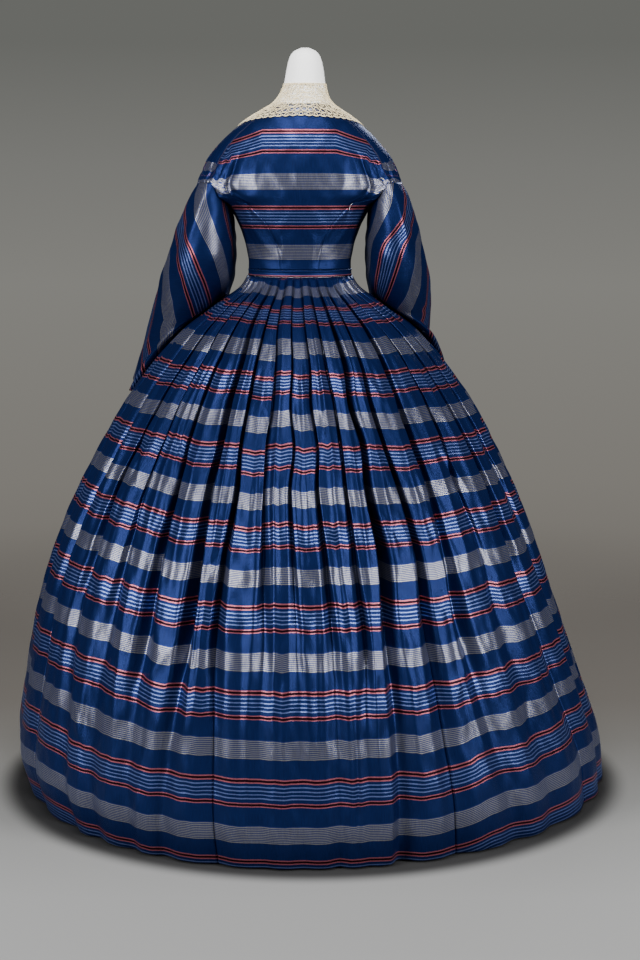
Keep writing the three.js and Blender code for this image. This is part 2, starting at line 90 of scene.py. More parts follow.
BODY = Table(
    ("height", "half", "back", "front", "inset", "lean"),
    (
        (1503, 8, 8, 8, 0, 11),
        (1497, 22, 22, 22, 0, 11),
        (1485, 31, 31, 31, 0, 11),
        (1462, 37, 36, 36, 0, 11),
        (1430, 42, 41, 41, 0, 10),
        (1410, 48, 47, 44, 1.5, 8),
        (1392, 62, 60, 50, 2.3, 6),
        (1378, 84, 68, 56, 2.3, 4),
        (1364, 106, 74, 65, 2.4, 3),
        (1350, 125, 81, 76, 2.6, 2),
        (1330, 148, 90, 90, 3, 1),
        (1306, 171, 99, 106, 5, 0),
        (1282, 188, 106, 120, 8, 0),
        (1258, 199, 111, 130, 12, 0),
        (1234, 207, 114, 136, 16, 0),
        (1212, 196, 115, 139, 14, 0),
        (1192, 150, 114, 139, 5, 0),
        (1160, 128, 109, 135, 2.6, 0),
        (1130, 116, 103, 125, 2.4, 0),
        (1100, 108, 97, 111, 2.3, 0),
        (1078, 104.5, 94, 103, 2.3, 0),
        (1050, 104, 94, 101, 2.3, 0),
    ),
)
HIPS = Table(
    ("height", "half", "back", "front"),
    (
        (1052, 94, 86, 90),
        (1030, 99, 92, 92),
        (1000, 116, 105, 100),
        (950, 138, 124, 112),
        (895, 150, 136, 118),
        (862, 146, 132, 115),
    ),
)
SIDE_BACK_SEAM = Table(
    ("height", "angle"),
    ((1392, 80), (1234, 80), (1212, 62), (1192, 44), (1160, 32), (1130, 26), (1100, 22), (1064, 20)),
)
SIDE_SEAM = Table(("height", "angle"), ((1392, 80), (1234, 80), (1212, 90), (1064, 90)))

SLEEVE_COLUMNS = ("height", "outer", "inner", "back", "front", "rise")
SLEEVES = {
    "sleeve_left": Table(
        SLEEVE_COLUMNS,
        (
            (1237, 206, 150, -64, 64, 0),
            (1212, 222, 143, -75, 74, 0),
            (1145, 251, 132, -88, 96, 0),
            (1101, 264, 131, -86, 112, 2),
            (1056, 282, 134, -72, 130, 5),
            (1010, 298, 148, -42, 150, 8),
            (962, 315, 166, -6, 172, 12),
            (915, 330, 186, 28, 194, 16),
            (868, 346, 206, 56, 218, 22),
            (826, 362, 222, 78, 240, 26),
        ),
    ),
    "sleeve_right": Table(
        SLEEVE_COLUMNS,
        (
            (1237, 206, 150, -64, 64, 0),
            (1212, 221, 143, -78, 80, 0),
            (1145, 242, 136, -92, 104, 0),
            (1101, 251, 134, -90, 118, 2),
            (1056, 263, 135, -76, 138, 5),
            (1010, 271, 144, -46, 164, 8),
            (962, 274, 152, 0, 196, 12),
            (915, 274, 160, 52, 236, 16),
            (868, 276, 166, 100, 274, 22),
            (826, 280, 172, 136, 308, 26),
        ),
    ),
}
SLEEVE_SIDE = {"sleeve_left": -1, "sleeve_right": 1}
SLEEVE_REST = 7  # how far a sleeve that lies on the skirt stands off it
SLEEVE_OPEN = 22  # how much further its outer side stands off

SKIRT = Table(
    ("height", "right", "left", "back", "front"),
    (
        (1050, 107, 107, 106, 104),
        (1030, 120, 119, 142, 118),
        (990, 176, 175, 214, 158),
        (948, 231, 230, 276, 200),
        (885, 289, 291, 343, 257),
        (800, 347, 355, 412, 316),
        (700, 402, 415, 465, 372),
        (553, 470, 488, 520, 430),
        (401, 526, 541, 561, 474),
        (247, 579, 573, 590, 506),
        (90, 632, 594, 598, 528),
        (6, 640, 574, 582, 522),
    ),
)
WAIST = 1050
SKIRT_TOP = 1050.2
HEM = 6
FOLD_HEIGHTS = (1050, 890, 550, 6)
WAIST_FOLD = 8  # depth of every fold at the waist
FOLDS = Table(
    ("waist", "hip", "knee", "hem", "hip_depth", "knee_depth", "hem_depth", "breadth"),
    (
        (-96, -94, -93, -93, 14, 10, 8, None),
        (-86, -81, -79, -79, 14, 10, 8, None),
        (-72, -64, -65, -65, 16, 15, 9, "skirt_back_left"),
        (-61, -51, -53, -50, 14, 12, 10, None),
        (-51, -42, -42, -42, 12, 10, 9, None),
        (-41, -33, -32, -33, 14, 14, 8, None),
        (-31, -23, -22, -26, 24, 24, 9, None),
        (-22, -16, -16, -15, 15, 12, 8, "skirt_centre_back"),
        (-14, -9, -7, -6, 12, 6, 3, None),
        (-6, -3, -1, 1, 10, 6, 3, None),
        (2, 4, 6, 7, 12, 12, 8, None),
        (10, 11, 13, 12, 14, 10, 3, None),
        (19, 18, 19, 17.5, 26, 30, 20, None),
        (28, 25, 28, 28, 16, 14, 10, "skirt_back_right"),
        (38, 36, 36, 41, 16, 14, 10, None),
        (48, 47, 48, 51, 14, 10, 8, None),
        (60, 58, 61, 66, 16, 15, 10, "skirt_side_right"),
        (73, 71, 74, 77, 14, 10, 8, None),
        (85, 84, 87, 88, 18, 16, 9, None),
        (96, 96, 97, 98, 12, 10, 6, None),
        (106, 107, 107, 106, 14, 12, 9, "skirt_front_right"),
        (117, 117, 118, 117, 12, 14, 8, None),
        (128, 129, 128, 128, 15, 9, 5, None),
        (139, 139, 140, 138, 11, 12, 8, None),
        (150, 150, 150, 150, 13, 11, 8, "skirt_centre_front"),
        (162, 161, 160, 159, 12, 10, 6, None),
        (174, 173, 172, 171, 9, 8, 6, None),
        (186, 186, 187, 188, 10, 8, 5, None),
        (198, 198, 199, 201, 12, 11, 7, None),
        (210, 210, 211, 211, 13, 12, 8, "skirt_front_left"),
        (221, 221, 222, 222, 11, 9, 8, None),
        (232, 232, 232, 233, 16, 14, 7, None),
        (243, 244, 243, 244, 12, 9, 5, None),
        (254, 255, 255, 255, 13, 12, 8, "skirt_side_left"),
    ),
    key="waist",
)

# ---- Meshes ---------------------------------------------------------------------------------


def deselect_all():
    for obj in bpy.context.selected_objects:
        obj.select_set(False)


def pick(obj):
    deselect_all()
    obj.select_set(True)
    bpy.context.view_layer.objects.active = obj


def new_mesh(name, points, faces):
    mesh = bpy.data.meshes.new(name)
    mesh.from_pydata((np.asarray(points) * METRE).tolist(), [], faces)
    mesh.update()
    obj = bpy.data.objects.new(name, mesh)
    bpy.context.scene.collection.objects.link(obj)
    return obj


def solidify(obj, wall):
    pick(obj)
    wall_modifier = obj.modifiers.new("wall", "SOLIDIFY")
    wall_modifier.thickness = wall * METRE
    wall_modifier.offset = -1
    bpy.ops.object.modifier_apply(modifier=wall_modifier.name)


def sheet_mesh(name, points, weave, kept=None, tube=False, wall=SILK_WALL):
    """A sheet of cloth from a grid of points: rows go down, columns to the right seen from
    outside. A tube's last column is its first again. Only the kept squares are made."""
    rows, columns = points.shape[:2]
    joined = columns - 1 if tube else columns
    number = np.arange(rows * joined).reshape(rows, joined)
    if tube:
        number = np.concatenate([number, number[:, :1]], axis=1)
    corner = [number[:-1, :-1], number[1:, :-1], number[1:, 1:], number[:-1, 1:]]
    place = [weave[:-1, :-1], weave[1:, :-1], weave[1:, 1:], weave[:-1, 1:]]
    faces = np.stack(corner, axis=-1)
    maps = np.stack(place, axis=-2)
    if kept is None:
        kept = np.ones(faces.shape[:2], bool)
    obj = new_mesh(name, points[:, :joined].reshape(-1, 3), faces[kept].tolist())
    layer = obj.data.uv_layers.new(name="weave")
    layer.data.foreach_set("uv", (maps[kept] * METRE).reshape(-1).astype(np.float32))
    obj.data.polygons.foreach_set("use_smooth", [True] * len(obj.data.polygons))
    remove_loose_points(obj)
    solidify(obj, wall)
    return obj


def hidden_squares(inside):
    """The squares of a grid whose four corners all lie inside another piece."""
    return inside[:-1, :-1] & inside[1:, :-1] & inside[1:, 1:] & inside[:-1, 1:]


def remove_loose_points(obj):
    pick(obj)
    bpy.ops.object.mode_set(mode="EDIT")
    bpy.ops.mesh.select_all(action="SELECT")
    bpy.ops.mesh.delete_loose()
    bpy.ops.object.mode_set(mode="OBJECT")


def smoothstep(value, low, high):
    t = np.clip((value - low) / (high - low), 0, 1)
    return t * t * (3 - 2 * t)


def ripples(across, down, seed, across_length, down_length, count=9):
    """Small uneven waves between about -1 and 1."""
    chance = np.random.default_rng(seed)
    total = np.zeros(np.broadcast(across, down).shape)
    for _ in range(count):
        a = chance.uniform(0.6, 1.6) * chance.choice((-1, 1)) / across_length
        d = chance.uniform(0.5, 1.6) / down_length
        total += np.sin(2 * math.pi * (a * across + d * down) + chance.uniform(0, 6.3))
    return total / math.sqrt(count)


def moved_out(points, distance):
    """The points of a grid moved along its normals."""
    down = np.gradient(points, axis=0)
    across = np.gradient(points, axis=1)
    normal = np.cross(down, across)
    normal /= np.maximum(np.linalg.norm(normal, axis=-1, keepdims=True), 1e-9)
    return points + normal * np.asarray(distance)[..., None]


# ---- Creases --------------------------------------------------------------------------------


def crease_depth(creases, angle, height, radius):
    """How far a table of soft creases moves each point out. A crease runs from a point to a
    point; its height out of the cloth is negative for a trough."""
    out = np.zeros(angle.shape)
    for angle_from, height_from, angle_to, height_to, rise, width in creases:
        run = np.clip((height_from - height) / (height_from - height_to), 0, 1)
        middle = angle_from + (angle_to - angle_from) * run
        aside = np.radians(angle - middle) * radius
        side = np.exp(-np.abs(aside / width) ** 1.5)
        ends = smoothstep(run, 0, 0.25) * (1 - smoothstep(run, 0.6, 1))
        out += rise * side * ends
    return out


# ---- Skirt ----------------------------------------------------------------------------------

SKIRT_ROWS = 120
FOLD_STEPS = 32  # columns of a fold, from valley to valley
FOLD_PINCH = 0.6  # how much closer the columns stand in the valleys
WAIST_VALLEY = 0.3  # half width of a valley at the waist, as a share of the fold
HEM_VALLEY = 0.4  # and at the hem
CROWN_ROUND = 3.0  # how much rounder the folds are high up
BACK_DEEPER = 0.95  # how much deeper the folds at the back are
SEAM_DEPTH = 2.4
SEAM_HALF_WIDTH = 1.8
HEM_PHASE = 0.545  # the part of the stripes' repeat that lies at the hem

# Main creases of the skirt: from and to (angle, height), how far out, half width.
SKIRT_CREASES = (
    (-88, 820, -86, 380, 5, 12),
    (-76, 900, -72, 420, -5, 10),
    (-70, 760, -71, 180, 4, 9),
    (-58, 940, -58, 500, 6, 10),
    (-56, 560, -60, 120, -4, 12),
    (-47, 900, -47, 300, 5, 9),
    (-44, 480, -46, 60, -4, 10),
    (-37, 960, -37, 520, 6, 10),
    (-38, 560, -36, 150, 5, 9),
    (-29, 950, -27, 430, 7, 9),
    (-30, 500, -30, 90, -5, 12),
    (-19, 980, -19, 560, 6, 8),
    (-20, 600, -21, 150, 4, 8),
    (-12, 960, -11, 480, 5, 8),
    (-11, 500, -10, 120, -3, 10),
    (-6, 940, -4, 420, 4, 7),
    (-3, 480, -2, 80, 3, 8),
    (1, 960, 3, 520, 5, 7),
    (4, 560, 4, 140, -4, 9),
    (8, 980, 9, 470, 6, 8),
    (10, 520, 9, 60, 4, 9),
    (15, 980, 16, 420, 6, 7),
    (15, 460, 14, 90, 4, 10),
    (22, 960, 23, 450, 7, 9),
    (23, 500, 22, 80, 5, 11),
    (30, 940, 32, 480, 6, 9),
    (33, 540, 34, 130, -5, 11),
    (41, 930, 42, 420, 6, 10),
    (44, 480, 46, 110, 4, 10),
    (52, 920, 54, 460, 5, 10),
    (57, 520, 59, 130, -5, 12),
    (65, 900, 67, 420, 6, 10),
    (70, 500, 71, 120, 4, 11),
    (78, 880, 80, 460, 5, 10),
    (82, 460, 83, 140, -4, 12),
    (91, 900, 92, 380, 5, 10),
    (101, 860, 102, 300, 5, 11),
    (112, 920, 113, 480, -5, 10),
    (122, 880, 123, 260, 6, 11),
    (133, 900, 134, 420, -4, 10),
    (144, 860, 145, 300, 5, 11),
    (156, 900, 155, 360, 4, 10),
    (168, 840, 166, 260, -4, 12),
    (180, 900, 180, 380, 4, 10),
    (192, 860, 193, 300, 5, 11),
    (204, 900, 205, 460, -5, 10),
    (216, 880, 217, 280, 5, 11),
    (227, 900, 227, 400, 5, 10),
    (238, 860, 238, 240, -4, 11),
    (249, 900, 249, 420, 5, 10),
    (260, 860, 261, 300, 4, 11),
    (-36, 930, -27, 850, -4, 5),
    (-33, 905, -25, 835, 4, 5),
    (-28, 870, -19, 800, -4, 5),
    (-40, 800, -30, 700, -4, 6),
    (-13, 900, -19, 780, -3, 5),
    (-12, 840, -5, 760, 3, 4),
    (-2, 900, 4, 830, 3, 4),
    (9, 820, 5, 730, -3, 5),
    (24, 900, 31, 800, 4, 5),
    (38, 880, 33, 760, -4, 6),
    (-26, 640, -19, 560, 4, 5),
    (-15, 610, -21, 520, -3, 5),
    (20, 660, 26, 560, -4, 6),
    (44, 760, 51, 640, 4, 6),
    (-52, 760, -44, 640, -4, 6),
    (-24, 420, -33, 300, 3, 8),
    (38, 400, 30, 280, 3, 8),
    (52, 300, 47, 160, -3, 9),
    (-50, 300, -43, 150, 3, 9),
)

# How much higher the stripes lie, away from the centre back: low down and half way up.
STRIPE_LIFT = Table(
    ("angle", "low", "upper"),
    (
        (-180, 0, 0),
        (-110, 16, 14),
        (-75, 24, 24),
        (-57, 27, 25),
        (-47, 12, 19),
        (-38, 6, 13),
        (-27, 0, 0),
        (28, 0, 0),
        (36, 20, 8),
        (45, 18, 12),
        (60, 26, 10),
        (70, 30, 13),
        (110, 18, 10),
        (180, 0, 0),
    ),
    key="angle",
)
CENTRE_LIFT = Table(
    ("height", "lift"),
    ((6, 0), (180, 1), (330, 4), (480, 4), (630, -5), (760, -14), (880, -16), (1000, 11), (1050, 15)),
)


def skirt_ridge(angle, height):
    turn = np.radians(angle)
    half = np.where(np.sin(turn) > 0, SKIRT.at("right", height), SKIRT.at("left", height))
    depth = np.where(np.cos(turn) > 0, SKIRT.at("back", height), SKIRT.at("front", height))
    return np.stack([half * np.sin(turn), -depth * np.cos(turn), height + 0 * turn], axis=-1)


def fold_lines(heights):
    """Angle and depth of every valley at the heights, folds by rows."""
    count = len(FOLDS.rows)
    angle = np.array([smooth(FOLD_HEIGHTS, row[:4], heights) for row in FOLDS.rows])
    depth = np.array([smooth(FOLD_HEIGHTS, (WAIST_FOLD, *row[4:7]), heights) for row in FOLDS.rows])
    chance = np.random.default_rng(9)
    levels = (1050, 970, 900, 830, 760, 680, 560, 420, 260, 6)
    calm = np.array((0, 0.5, 1, 1, 1, 1, 1, 1, 0.7, 0))
    for fold in range(count):
        angle[fold] += smooth(levels, chance.uniform(-0.9, 0.9, len(levels)) * calm, heights)
        depth[fold] *= 1 + smooth(levels, chance.uniform(-0.4, 0.4, len(levels)) * calm, heights)
    return count, angle, depth


def valley(share):
    return 1 - smoothstep(share, 0, 1)


def facets(fold, step, heights):
    """Uneven flat strips between the creases of one fold: how far out each point lies."""
    chance = np.random.default_rng(400 + fold)
    count = int(chance.integers(3, 6))
    edges = np.linspace(0, 1, count + 2)[1:-1] + chance.uniform(-0.08, 0.08, count)
    levels = np.array([6, 110, 230, 370, 520, 680, 830, 950, 1050])
    size = np.array([1.4, 2.4, 2.8, 3.0, 3.3, 3.9, 4.0, 2.6, 0.8])
    sign = np.where(np.arange(count) % 2, 1, -1) * chance.choice((-1, 1))
    out = sign[:, None] * chance.uniform(-0.25, 1, (count, len(levels))) * size
    wander = chance.uniform(-0.05, 0.05, (count, len(levels)))
    tilt = chance.uniform(-1, 1) + chance.uniform(-0.4, 0.4, len(levels))
    tilt_at = smooth(levels, tilt * 1.5 * size, heights)
    out_at = np.array([smooth(levels, row, heights) for row in out])
    edge_at = np.array([edges[i] + smooth(levels, wander[i], heights) for i in range(count)])
    result = np.empty((len(heights), len(step)))
    for row in range(len(heights)):
        places = np.concatenate([[0], np.sort(edge_at[:, row]), [1]])
        outs = np.concatenate([[-tilt_at[row]], out_at[:, row], [tilt_at[row]]])
        result[row] = np.interp(step, places, outs)
        for place in places[1:-1]:
            result[row] += 0.35 * np.exp(-(((step - place) / 0.035) ** 2))
    return result


# How much higher the stripes lie on the panel that begins at a fold (its row in the table).
PANEL_RISE = {6: 1, 7: -13, 8: 1, 9: -7, 10: 1, 11: -6, 12: -2, 13: -5}


def fold_surprises(fold):
    """How wide a valley opens on each side, how much higher its panel's stripes lie, and how
    far its bottom slides under its neighbour."""
    chance = np.random.default_rng(70 + fold)
    depth = FOLDS.rows[fold][4]
    wide = 0.015 + 0.005 * depth + chance.uniform(-0.015, 0.03, 2)
    return wide, PANEL_RISE.get(fold, chance.uniform(-8, 8)), chance.uniform(4, 9)


def in_middle(angle):
    """1 among the deep folds at the back, 0 at the smoother sides."""
    turn = np.abs((angle - 3 + 180) % 360 - 180)
    return 1 - smoothstep(turn, 26, 50)


def skirt_breadth(first, folds):
    """Grid points and weave of one breadth, from one seam's valley to the next."""
    share = np.linspace(0, 1, SKIRT_ROWS)
    heights = SKIRT_TOP + (HEM - SKIRT_TOP) * (0.75 * share + 0.25 * share**1.6)
    count, angles, depths = fold_lines(heights)
    even = np.arange(FOLD_STEPS) / FOLD_STEPS
    step = even - FOLD_PINCH * np.sin(2 * math.pi * even) / (2 * math.pi)
    angle_parts, depth_parts, under_parts, rise_parts = [], [], [], []
    upper = smoothstep(heights, 150, 750)[:, None]
    waist = smoothstep(heights, 985, 1045)[:, None]
    long_way = smoothstep(heights, 230, 620)[:, None] * (1 - waist)
    for number in range(first, first + folds):
        last = number == first + folds - 1
        t = np.append(step, 1.0)[None, :] if last else step[None, :]
        here, there = number % count, (number + 1) % count
        start = angles[here][:, None] + 360 * (number // count)
        end = angles[there][:, None] + 360 * ((number + 1) // count)
        wide_here, rise_here, slide_here = fold_surprises(here)
        wide_there, rise_there, slide_there = fold_surprises(there)
        near = wide_here[0] * upper + HEM_VALLEY * (1 - upper)
        far = wide_there[1] * upper + HEM_VALLEY * (1 - upper)
        near = near + (WAIST_VALLEY - near) * waist
        far = far + (WAIST_VALLEY - far) * waist
        in_here, in_there = valley(t / near), valley((1 - t) / far)
        depth = depths[here][:, None] * in_here + depths[there][:, None] * in_there
        crown = (1 - np.sin(math.pi * t)) * (1 + CROWN_ROUND * upper * (1 - waist))
        flat = facets(here, t[0], heights) * (1 - np.maximum(in_here, in_there))
        side_here, side_there = np.sign(start + 3), np.sign(end + 3)
        middle_share = BACK_DEEPER * in_middle(start) * (1 - t) + BACK_DEEPER * in_middle(end) * t
        deeper = 1 + long_way * middle_share
        slide = slide_here * side_here * in_here + slide_there * side_there * in_there
        middle = (rise_here + rise_there) / 2
        before = (rise_here + fold_surprises((number - 1) % count)[1]) / 2
        rise = rise_here + (before - rise_here) * in_here + (middle - rise_here) * in_there
        angle_parts.append(start + (end - start) * t)
        depth_parts.append(depth * deeper + crown - flat)
        under_parts.append(slide * upper * (1 - waist))
        rise_parts.append(rise * smoothstep(heights, 250, 800)[:, None] + 0.8 * flat)
    angle = np.concatenate(angle_parts, axis=1)
    depth = np.concatenate(depth_parts, axis=1)
    under = np.concatenate(under_parts, axis=1)
    rise = np.concatenate(rise_parts, axis=1)
    height = np.broadcast_to(heights[:, None], angle.shape)
    ridge = skirt_ridge(angle, height)
    radius = np.hypot(ridge[..., 0], ridge[..., 1])
    depth = depth - crease_depth(SKIRT_CREASES, angle, height, radius)
    crumple = ripples(angle * 8, height, 31, 60, 90) * 0.7
    crumple += ripples(angle * 8, height, 33, 26, 60) * 0.35
    depth = depth - crumple * smoothstep(height, 8, 120) * (1 - smoothstep(height, 960, 1045))
    from_seam = np.radians(np.minimum(angle - angle[:, :1], angle[:, -1:] - angle)) * radius
    seam = SEAM_DEPTH * np.exp(-((from_seam / SEAM_HALF_WIDTH) ** 2))
    depth = depth + seam * (1 - smoothstep(height, 880, 980))
    turned = skirt_ridge(angle + np.degrees(under / radius), height)
    turned_radius = np.hypot(turned[..., 0], turned[..., 1])
    points = turned.copy()
    points[..., :2] *= (1 - depth / turned_radius)[..., None]
    weave = skirt_weave(angle, height, ridge)
    weave[..., 1] += rise
    return add_hem(points, weave)


def skirt_weave(angle, height, ridge):
    """Across: metres of cloth at the hem. Down: so that the stripes lie level at the hem."""
    piece = np.linalg.norm(np.diff(ridge, axis=0), axis=-1)
    up = np.zeros(angle.shape)
    up[:-1] = np.cumsum(piece[::-1], axis=0)[::-1]
    turn = (angle + 180) % 360 - 180
    low = STRIPE_LIFT.at("low", turn)
    high = STRIPE_LIFT.at("upper", turn)
    mix = smoothstep(height, 180, 320)
    lift = low + (high - low) * mix
    lift = lift * (1 - 0.6 * smoothstep(height, 650, 950)) + CENTRE_LIFT.at("lift", height)
    down = HEM_PHASE * REPEAT - up + lift
    hem = np.linalg.norm(np.diff(ridge[-1], axis=0), axis=-1)
    across = np.concatenate([[0], np.cumsum(hem)])
    return np.stack([np.broadcast_to(across, angle.shape), down], axis=-1)


def add_hem(points, weave):
    """The hem's fold, turned in under the skirt."""
    last = points[-1]
    inwards = last / np.maximum(np.hypot(last[:, 0], last[:, 1]), 1)[:, None]
    rows, maps = [points], [weave]
    for inset, height, extra in ((1.5, 3.6, 3), (4.5, 2.8, 6), (12, 3.4, 14)):
        row = last - inwards * np.array([inset, inset, 0])
        row[:, 2] = height
        rows.append(row[None])
        maps.append((weave[-1] + np.array([0, extra]))[None])
    return np.concatenate(rows), np.concatenate(maps)


# ---- Bodice ---------------------------------------------------------------------------------

NECKLINE = 1392
WAISTBAND_TOP = 1064.3
BODICE_ROWS = 96
SEAM_LAP = 0.4  # degrees that two pieces meet by at a seam
SEAM_GROOVE = 0.6
GROOVE_HALF_WIDTH = 1.3
BODICE_RIPPLE = 0.45
CAP_CRUMPLE = 0.9  # of the cloth at the armhole's top
UNDERARM = 1212  # top of the side backs
WEAVE_RADIUS = 110  # millimetres of cloth for each radian round the body

# The weave down the bodice: which part of the stripes' repeat lies at a height.
BODICE_WEAVE = Table(
    ("height", "repeat"),
    (
        (1420, -0.12),
        (1392, 0.08),
        (1337, 0.4705),
        (1298, 0.7505),
        (1256, 1.0),
        (1224, 1.218),
        (1188, 1.4705),
        (1150, 1.7505),
        (1116, 2.0),
        (1086, 2.218),
        (1050, 2.475),
    ),
)
SHOULDER_SLOPE = Table(
    ("height", "slope"), ((1392, 0.45), (1337, 0.38), (1298, 0.27), (1256, 0.05), (1224, 0))
)
SHOULDER_KINK = 73  # millimetres from the centre, where the stripes begin to slope

# Wrinkles of the bodice: from and to (angle, height), how far out, half width.
BODICE_CREASES = (
    (0, 1360, 0, 1085, -0.4, 2),
    (-41, 1302, -47, 1150, -8, 4.5),
    (41, 1302, 47, 1150, -8, 4.5),
    (-33, 1320, -38, 1190, 2, 7),
    (33, 1320, 38, 1190, 2, 7),
    (-27, 1305, -24, 1200, 1.6, 5),
    (-3, 1300, 2, 1190, 1.6, 5),
    (29, 1296, 23, 1196, 1.8, 5),
    (-16, 1140, -20, 1066, 1.6, 6),
    (13, 1140, 15, 1066, 1.6, 6),
    (-54, 1300, -62, 1170, 3, 5),
    (-66, 1290, -58, 1180, -3, 5),
    (55, 1300, 64, 1170, 3, 5),
    (68, 1290, 60, 1180, -3, 5),
    (-58, 1400, -58, 1200, -1.2, 2),
    (58, 1400, 58, 1200, -1.2, 2),
    (-46, 1200, -20, 1108, 1.6, 7),
    (-40, 1176, -16, 1086, -1.5, 6),
    (-62, 1180, -30, 1090, 1.4, 7),
    (-70, 1158, -42, 1074, -1.4, 7),
    (-78, 1130, -56, 1070, 1.3, 6),
    (48, 1200, 22, 1108, 1.6, 7),
    (42, 1176, 18, 1086, -1.5, 6),
    (64, 1180, 32, 1090, 1.4, 7),
    (72, 1158, 44, 1074, -1.4, 7),
    (80, 1130, 58, 1070, 1.3, 6),
    (-58, 1270, -30, 1190, -1.8, 9),
    (-64, 1250, -40, 1196, 1.8, 8),
    (60, 1270, 32, 1190, -1.8, 9),
    (66, 1250, 42, 1196, 1.8, 8),
    (-24, 1300, -20, 1230, 0.9, 8),
    (26, 1296, 22, 1226, 0.9, 8),
    (110, 1200, 140, 1090, 1.6, 8),
    (128, 1180, 152, 1085, -1.4, 7),
    (-110, 1200, -140, 1090, 1.6, 8),
    (-128, 1180, -152, 1085, -1.4, 7),
)


def body_point(angle, height, out=0.0):
    turn = np.radians(angle)
    half = BODY.at("half", height) + out
    back, front = BODY.at("back", height), BODY.at("front", height)
    depth = np.where(np.cos(turn) > 0, back, front) + out
    lean = BODY.at("lean", height)
    return np.stack([lean + half * np.sin(turn), -depth * np.cos(turn), height + 0 * turn], axis=-1)


def reach_of_body(points):
    """Below 1 inside the bodice's surface, above 1 outside it."""
    x = points[..., 0] - BODY.at("lean", points[..., 2])
    back, front = BODY.at("back", points[..., 2]), BODY.at("front", points[..., 2])
    depth = np.where(points[..., 1] < 0, back, front)
    return np.hypot(x / BODY.at("half", points[..., 2]), points[..., 1] / depth)


def reach_of_sleeve(points, name):
    """Below 1 inside a sleeve."""
    rows, side = SLEEVES[name], SLEEVE_SIDE[name]
    z = points[..., 2]
    outer, inner = rows.at("outer", z), rows.at("inner", z)
    back, front = rows.at("back", z), rows.at("front", z)
    across = (side * points[..., 0] - (outer + inner) / 2) / ((outer - inner) / 2)
    along = (points[..., 1] - (front + back) / 2) / ((front - back) / 2)
    reach = np.hypot(across, along)
    return np.where(z > rows.rows[0][0], 2 + 0 * reach, reach)


def bodice_piece(name, top, from_seam, to_seam, columns):
    rows = max(12, int(BODICE_ROWS * (top - WAISTBAND_TOP) / 328))
    heights = np.linspace(top, WAISTBAND_TOP, rows)
    share = np.linspace(0, 1, columns)[None, :]
    start = from_seam(heights)[:, None] - SEAM_LAP
    end = to_seam(heights)[:, None] + SEAM_LAP
    angle = start + (end - start) * share
    height = np.broadcast_to(heights[:, None], angle.shape)
    points = body_point(angle, height)
    radius = np.hypot(points[..., 0], points[..., 1])
    out = crease_depth(BODICE_CREASES, angle, height, radius)
    out += BODICE_RIPPLE * ripples(points[..., 0], height, 12, 50, 70)
    edge_left = np.radians(angle - start) * radius
    edge_right = np.radians(end - angle) * radius
    nearest = np.minimum(edge_left, edge_right)
    out -= SEAM_GROOVE * np.exp(-((nearest / GROOVE_HALF_WIDTH) ** 2))
    cap = smoothstep(np.abs(angle), 44, 52) * smoothstep(height, 1190, 1215)
    cap = cap * (1 - smoothstep(height, 1270, 1310))
    out += CAP_CRUMPLE * cap * ripples(np.radians(angle) * radius, height, 44, 22, 26)
    points = moved_out(points, out)
    weave = bodice_weave(points, angle)
    arms = np.minimum(reach_of_sleeve(points, "sleeve_left"), reach_of_sleeve(points, "sleeve_right"))
    return sheet_mesh(name, points, weave, kept=~hidden_squares(arms < 0.97))


# The weave beyond the shoulder seam, where the front comes over: plain but for a silver patch.
SHOULDER_SEAM = 58  # degrees
OVER_SHOULDER = Table(
    ("height", "repeat"),
    ((1392, -0.2), (1282, -0.04), (1274, 0.05), (1264, 0.17), (1256, 0.28), (1180, 0.4)),
)


def bodice_weave(points, angle):
    x, z = points[..., 0], points[..., 2]
    drop = SHOULDER_SLOPE.at("slope", z) * np.maximum(0, np.abs(x) - SHOULDER_KINK)
    crumpled = smoothstep(np.abs(x), 134, 141) * (1 - smoothstep(z, 1285, 1320))
    crumpled = crumpled * smoothstep(z, 1185, 1200)
    drop = drop + crumpled * (8 + 2.5 * ripples(x, z, 45, 24, 30))
    down = BODICE_WEAVE.at("repeat", z + drop)
    over = (np.abs(angle) > SHOULDER_SEAM) & (np.abs(angle) < 81) & (z > 1252)
    down = np.where(over, OVER_SHOULDER.at("repeat", z + 3 * ripples(x, z, 46, 20, 30)), down) * REPEAT
    return np.stack([np.radians(angle) * WEAVE_RADIUS, down], axis=-1)


def side_back_seam(height):
    return SIDE_BACK_SEAM.at("angle", height)


def side_seam(height):
    return SIDE_SEAM.at("angle", height)


def waistband():
    """A band with a piped edge above and below."""
    profile = Table(
        ("height", "out", "repeat"),
        (
            (1064.2, 0.4, 2.30),
            (1063.6, 1.6, 2.31),
            (1062.4, 1.9, 2.33),
            (1061.0, 1.7, 2.35),
            (1060.2, 1.1, 2.36),
            (1057.5, 1.2, 2.39),
            (1054.4, 1.1, 2.43),
            (1053.6, 2.0, 2.45),
            (1052.3, 2.1, 2.46),
            (1051.2, 1.8, 2.48),
            (1050.7, 0.5, 2.49),
        ),
    )
    angle = np.linspace(-180, 180, 129)[None, :]
    heights = np.array(profile.column("height"))[:, None]
    out = np.array(profile.column("out"))[:, None]
    points = body_point(angle + 0 * heights, heights + 0 * angle, out)
    down = np.array(profile.column("repeat"))[:, None] * REPEAT + 0 * angle
    weave = np.stack([np.radians(angle) * WEAVE_RADIUS + 0 * heights, down], axis=-1)
    return sheet_mesh("waistband_silk", points, weave, tube=True, wall=1.0)


# ---- Sleeves --------------------------------------------------------------------------------

SLEEVE_STEPS = 96
SLEEVE_ROWS = 110
SLEEVE_RADIUS = 75.0  # about half a sleeve's width, which the creases' widths go by

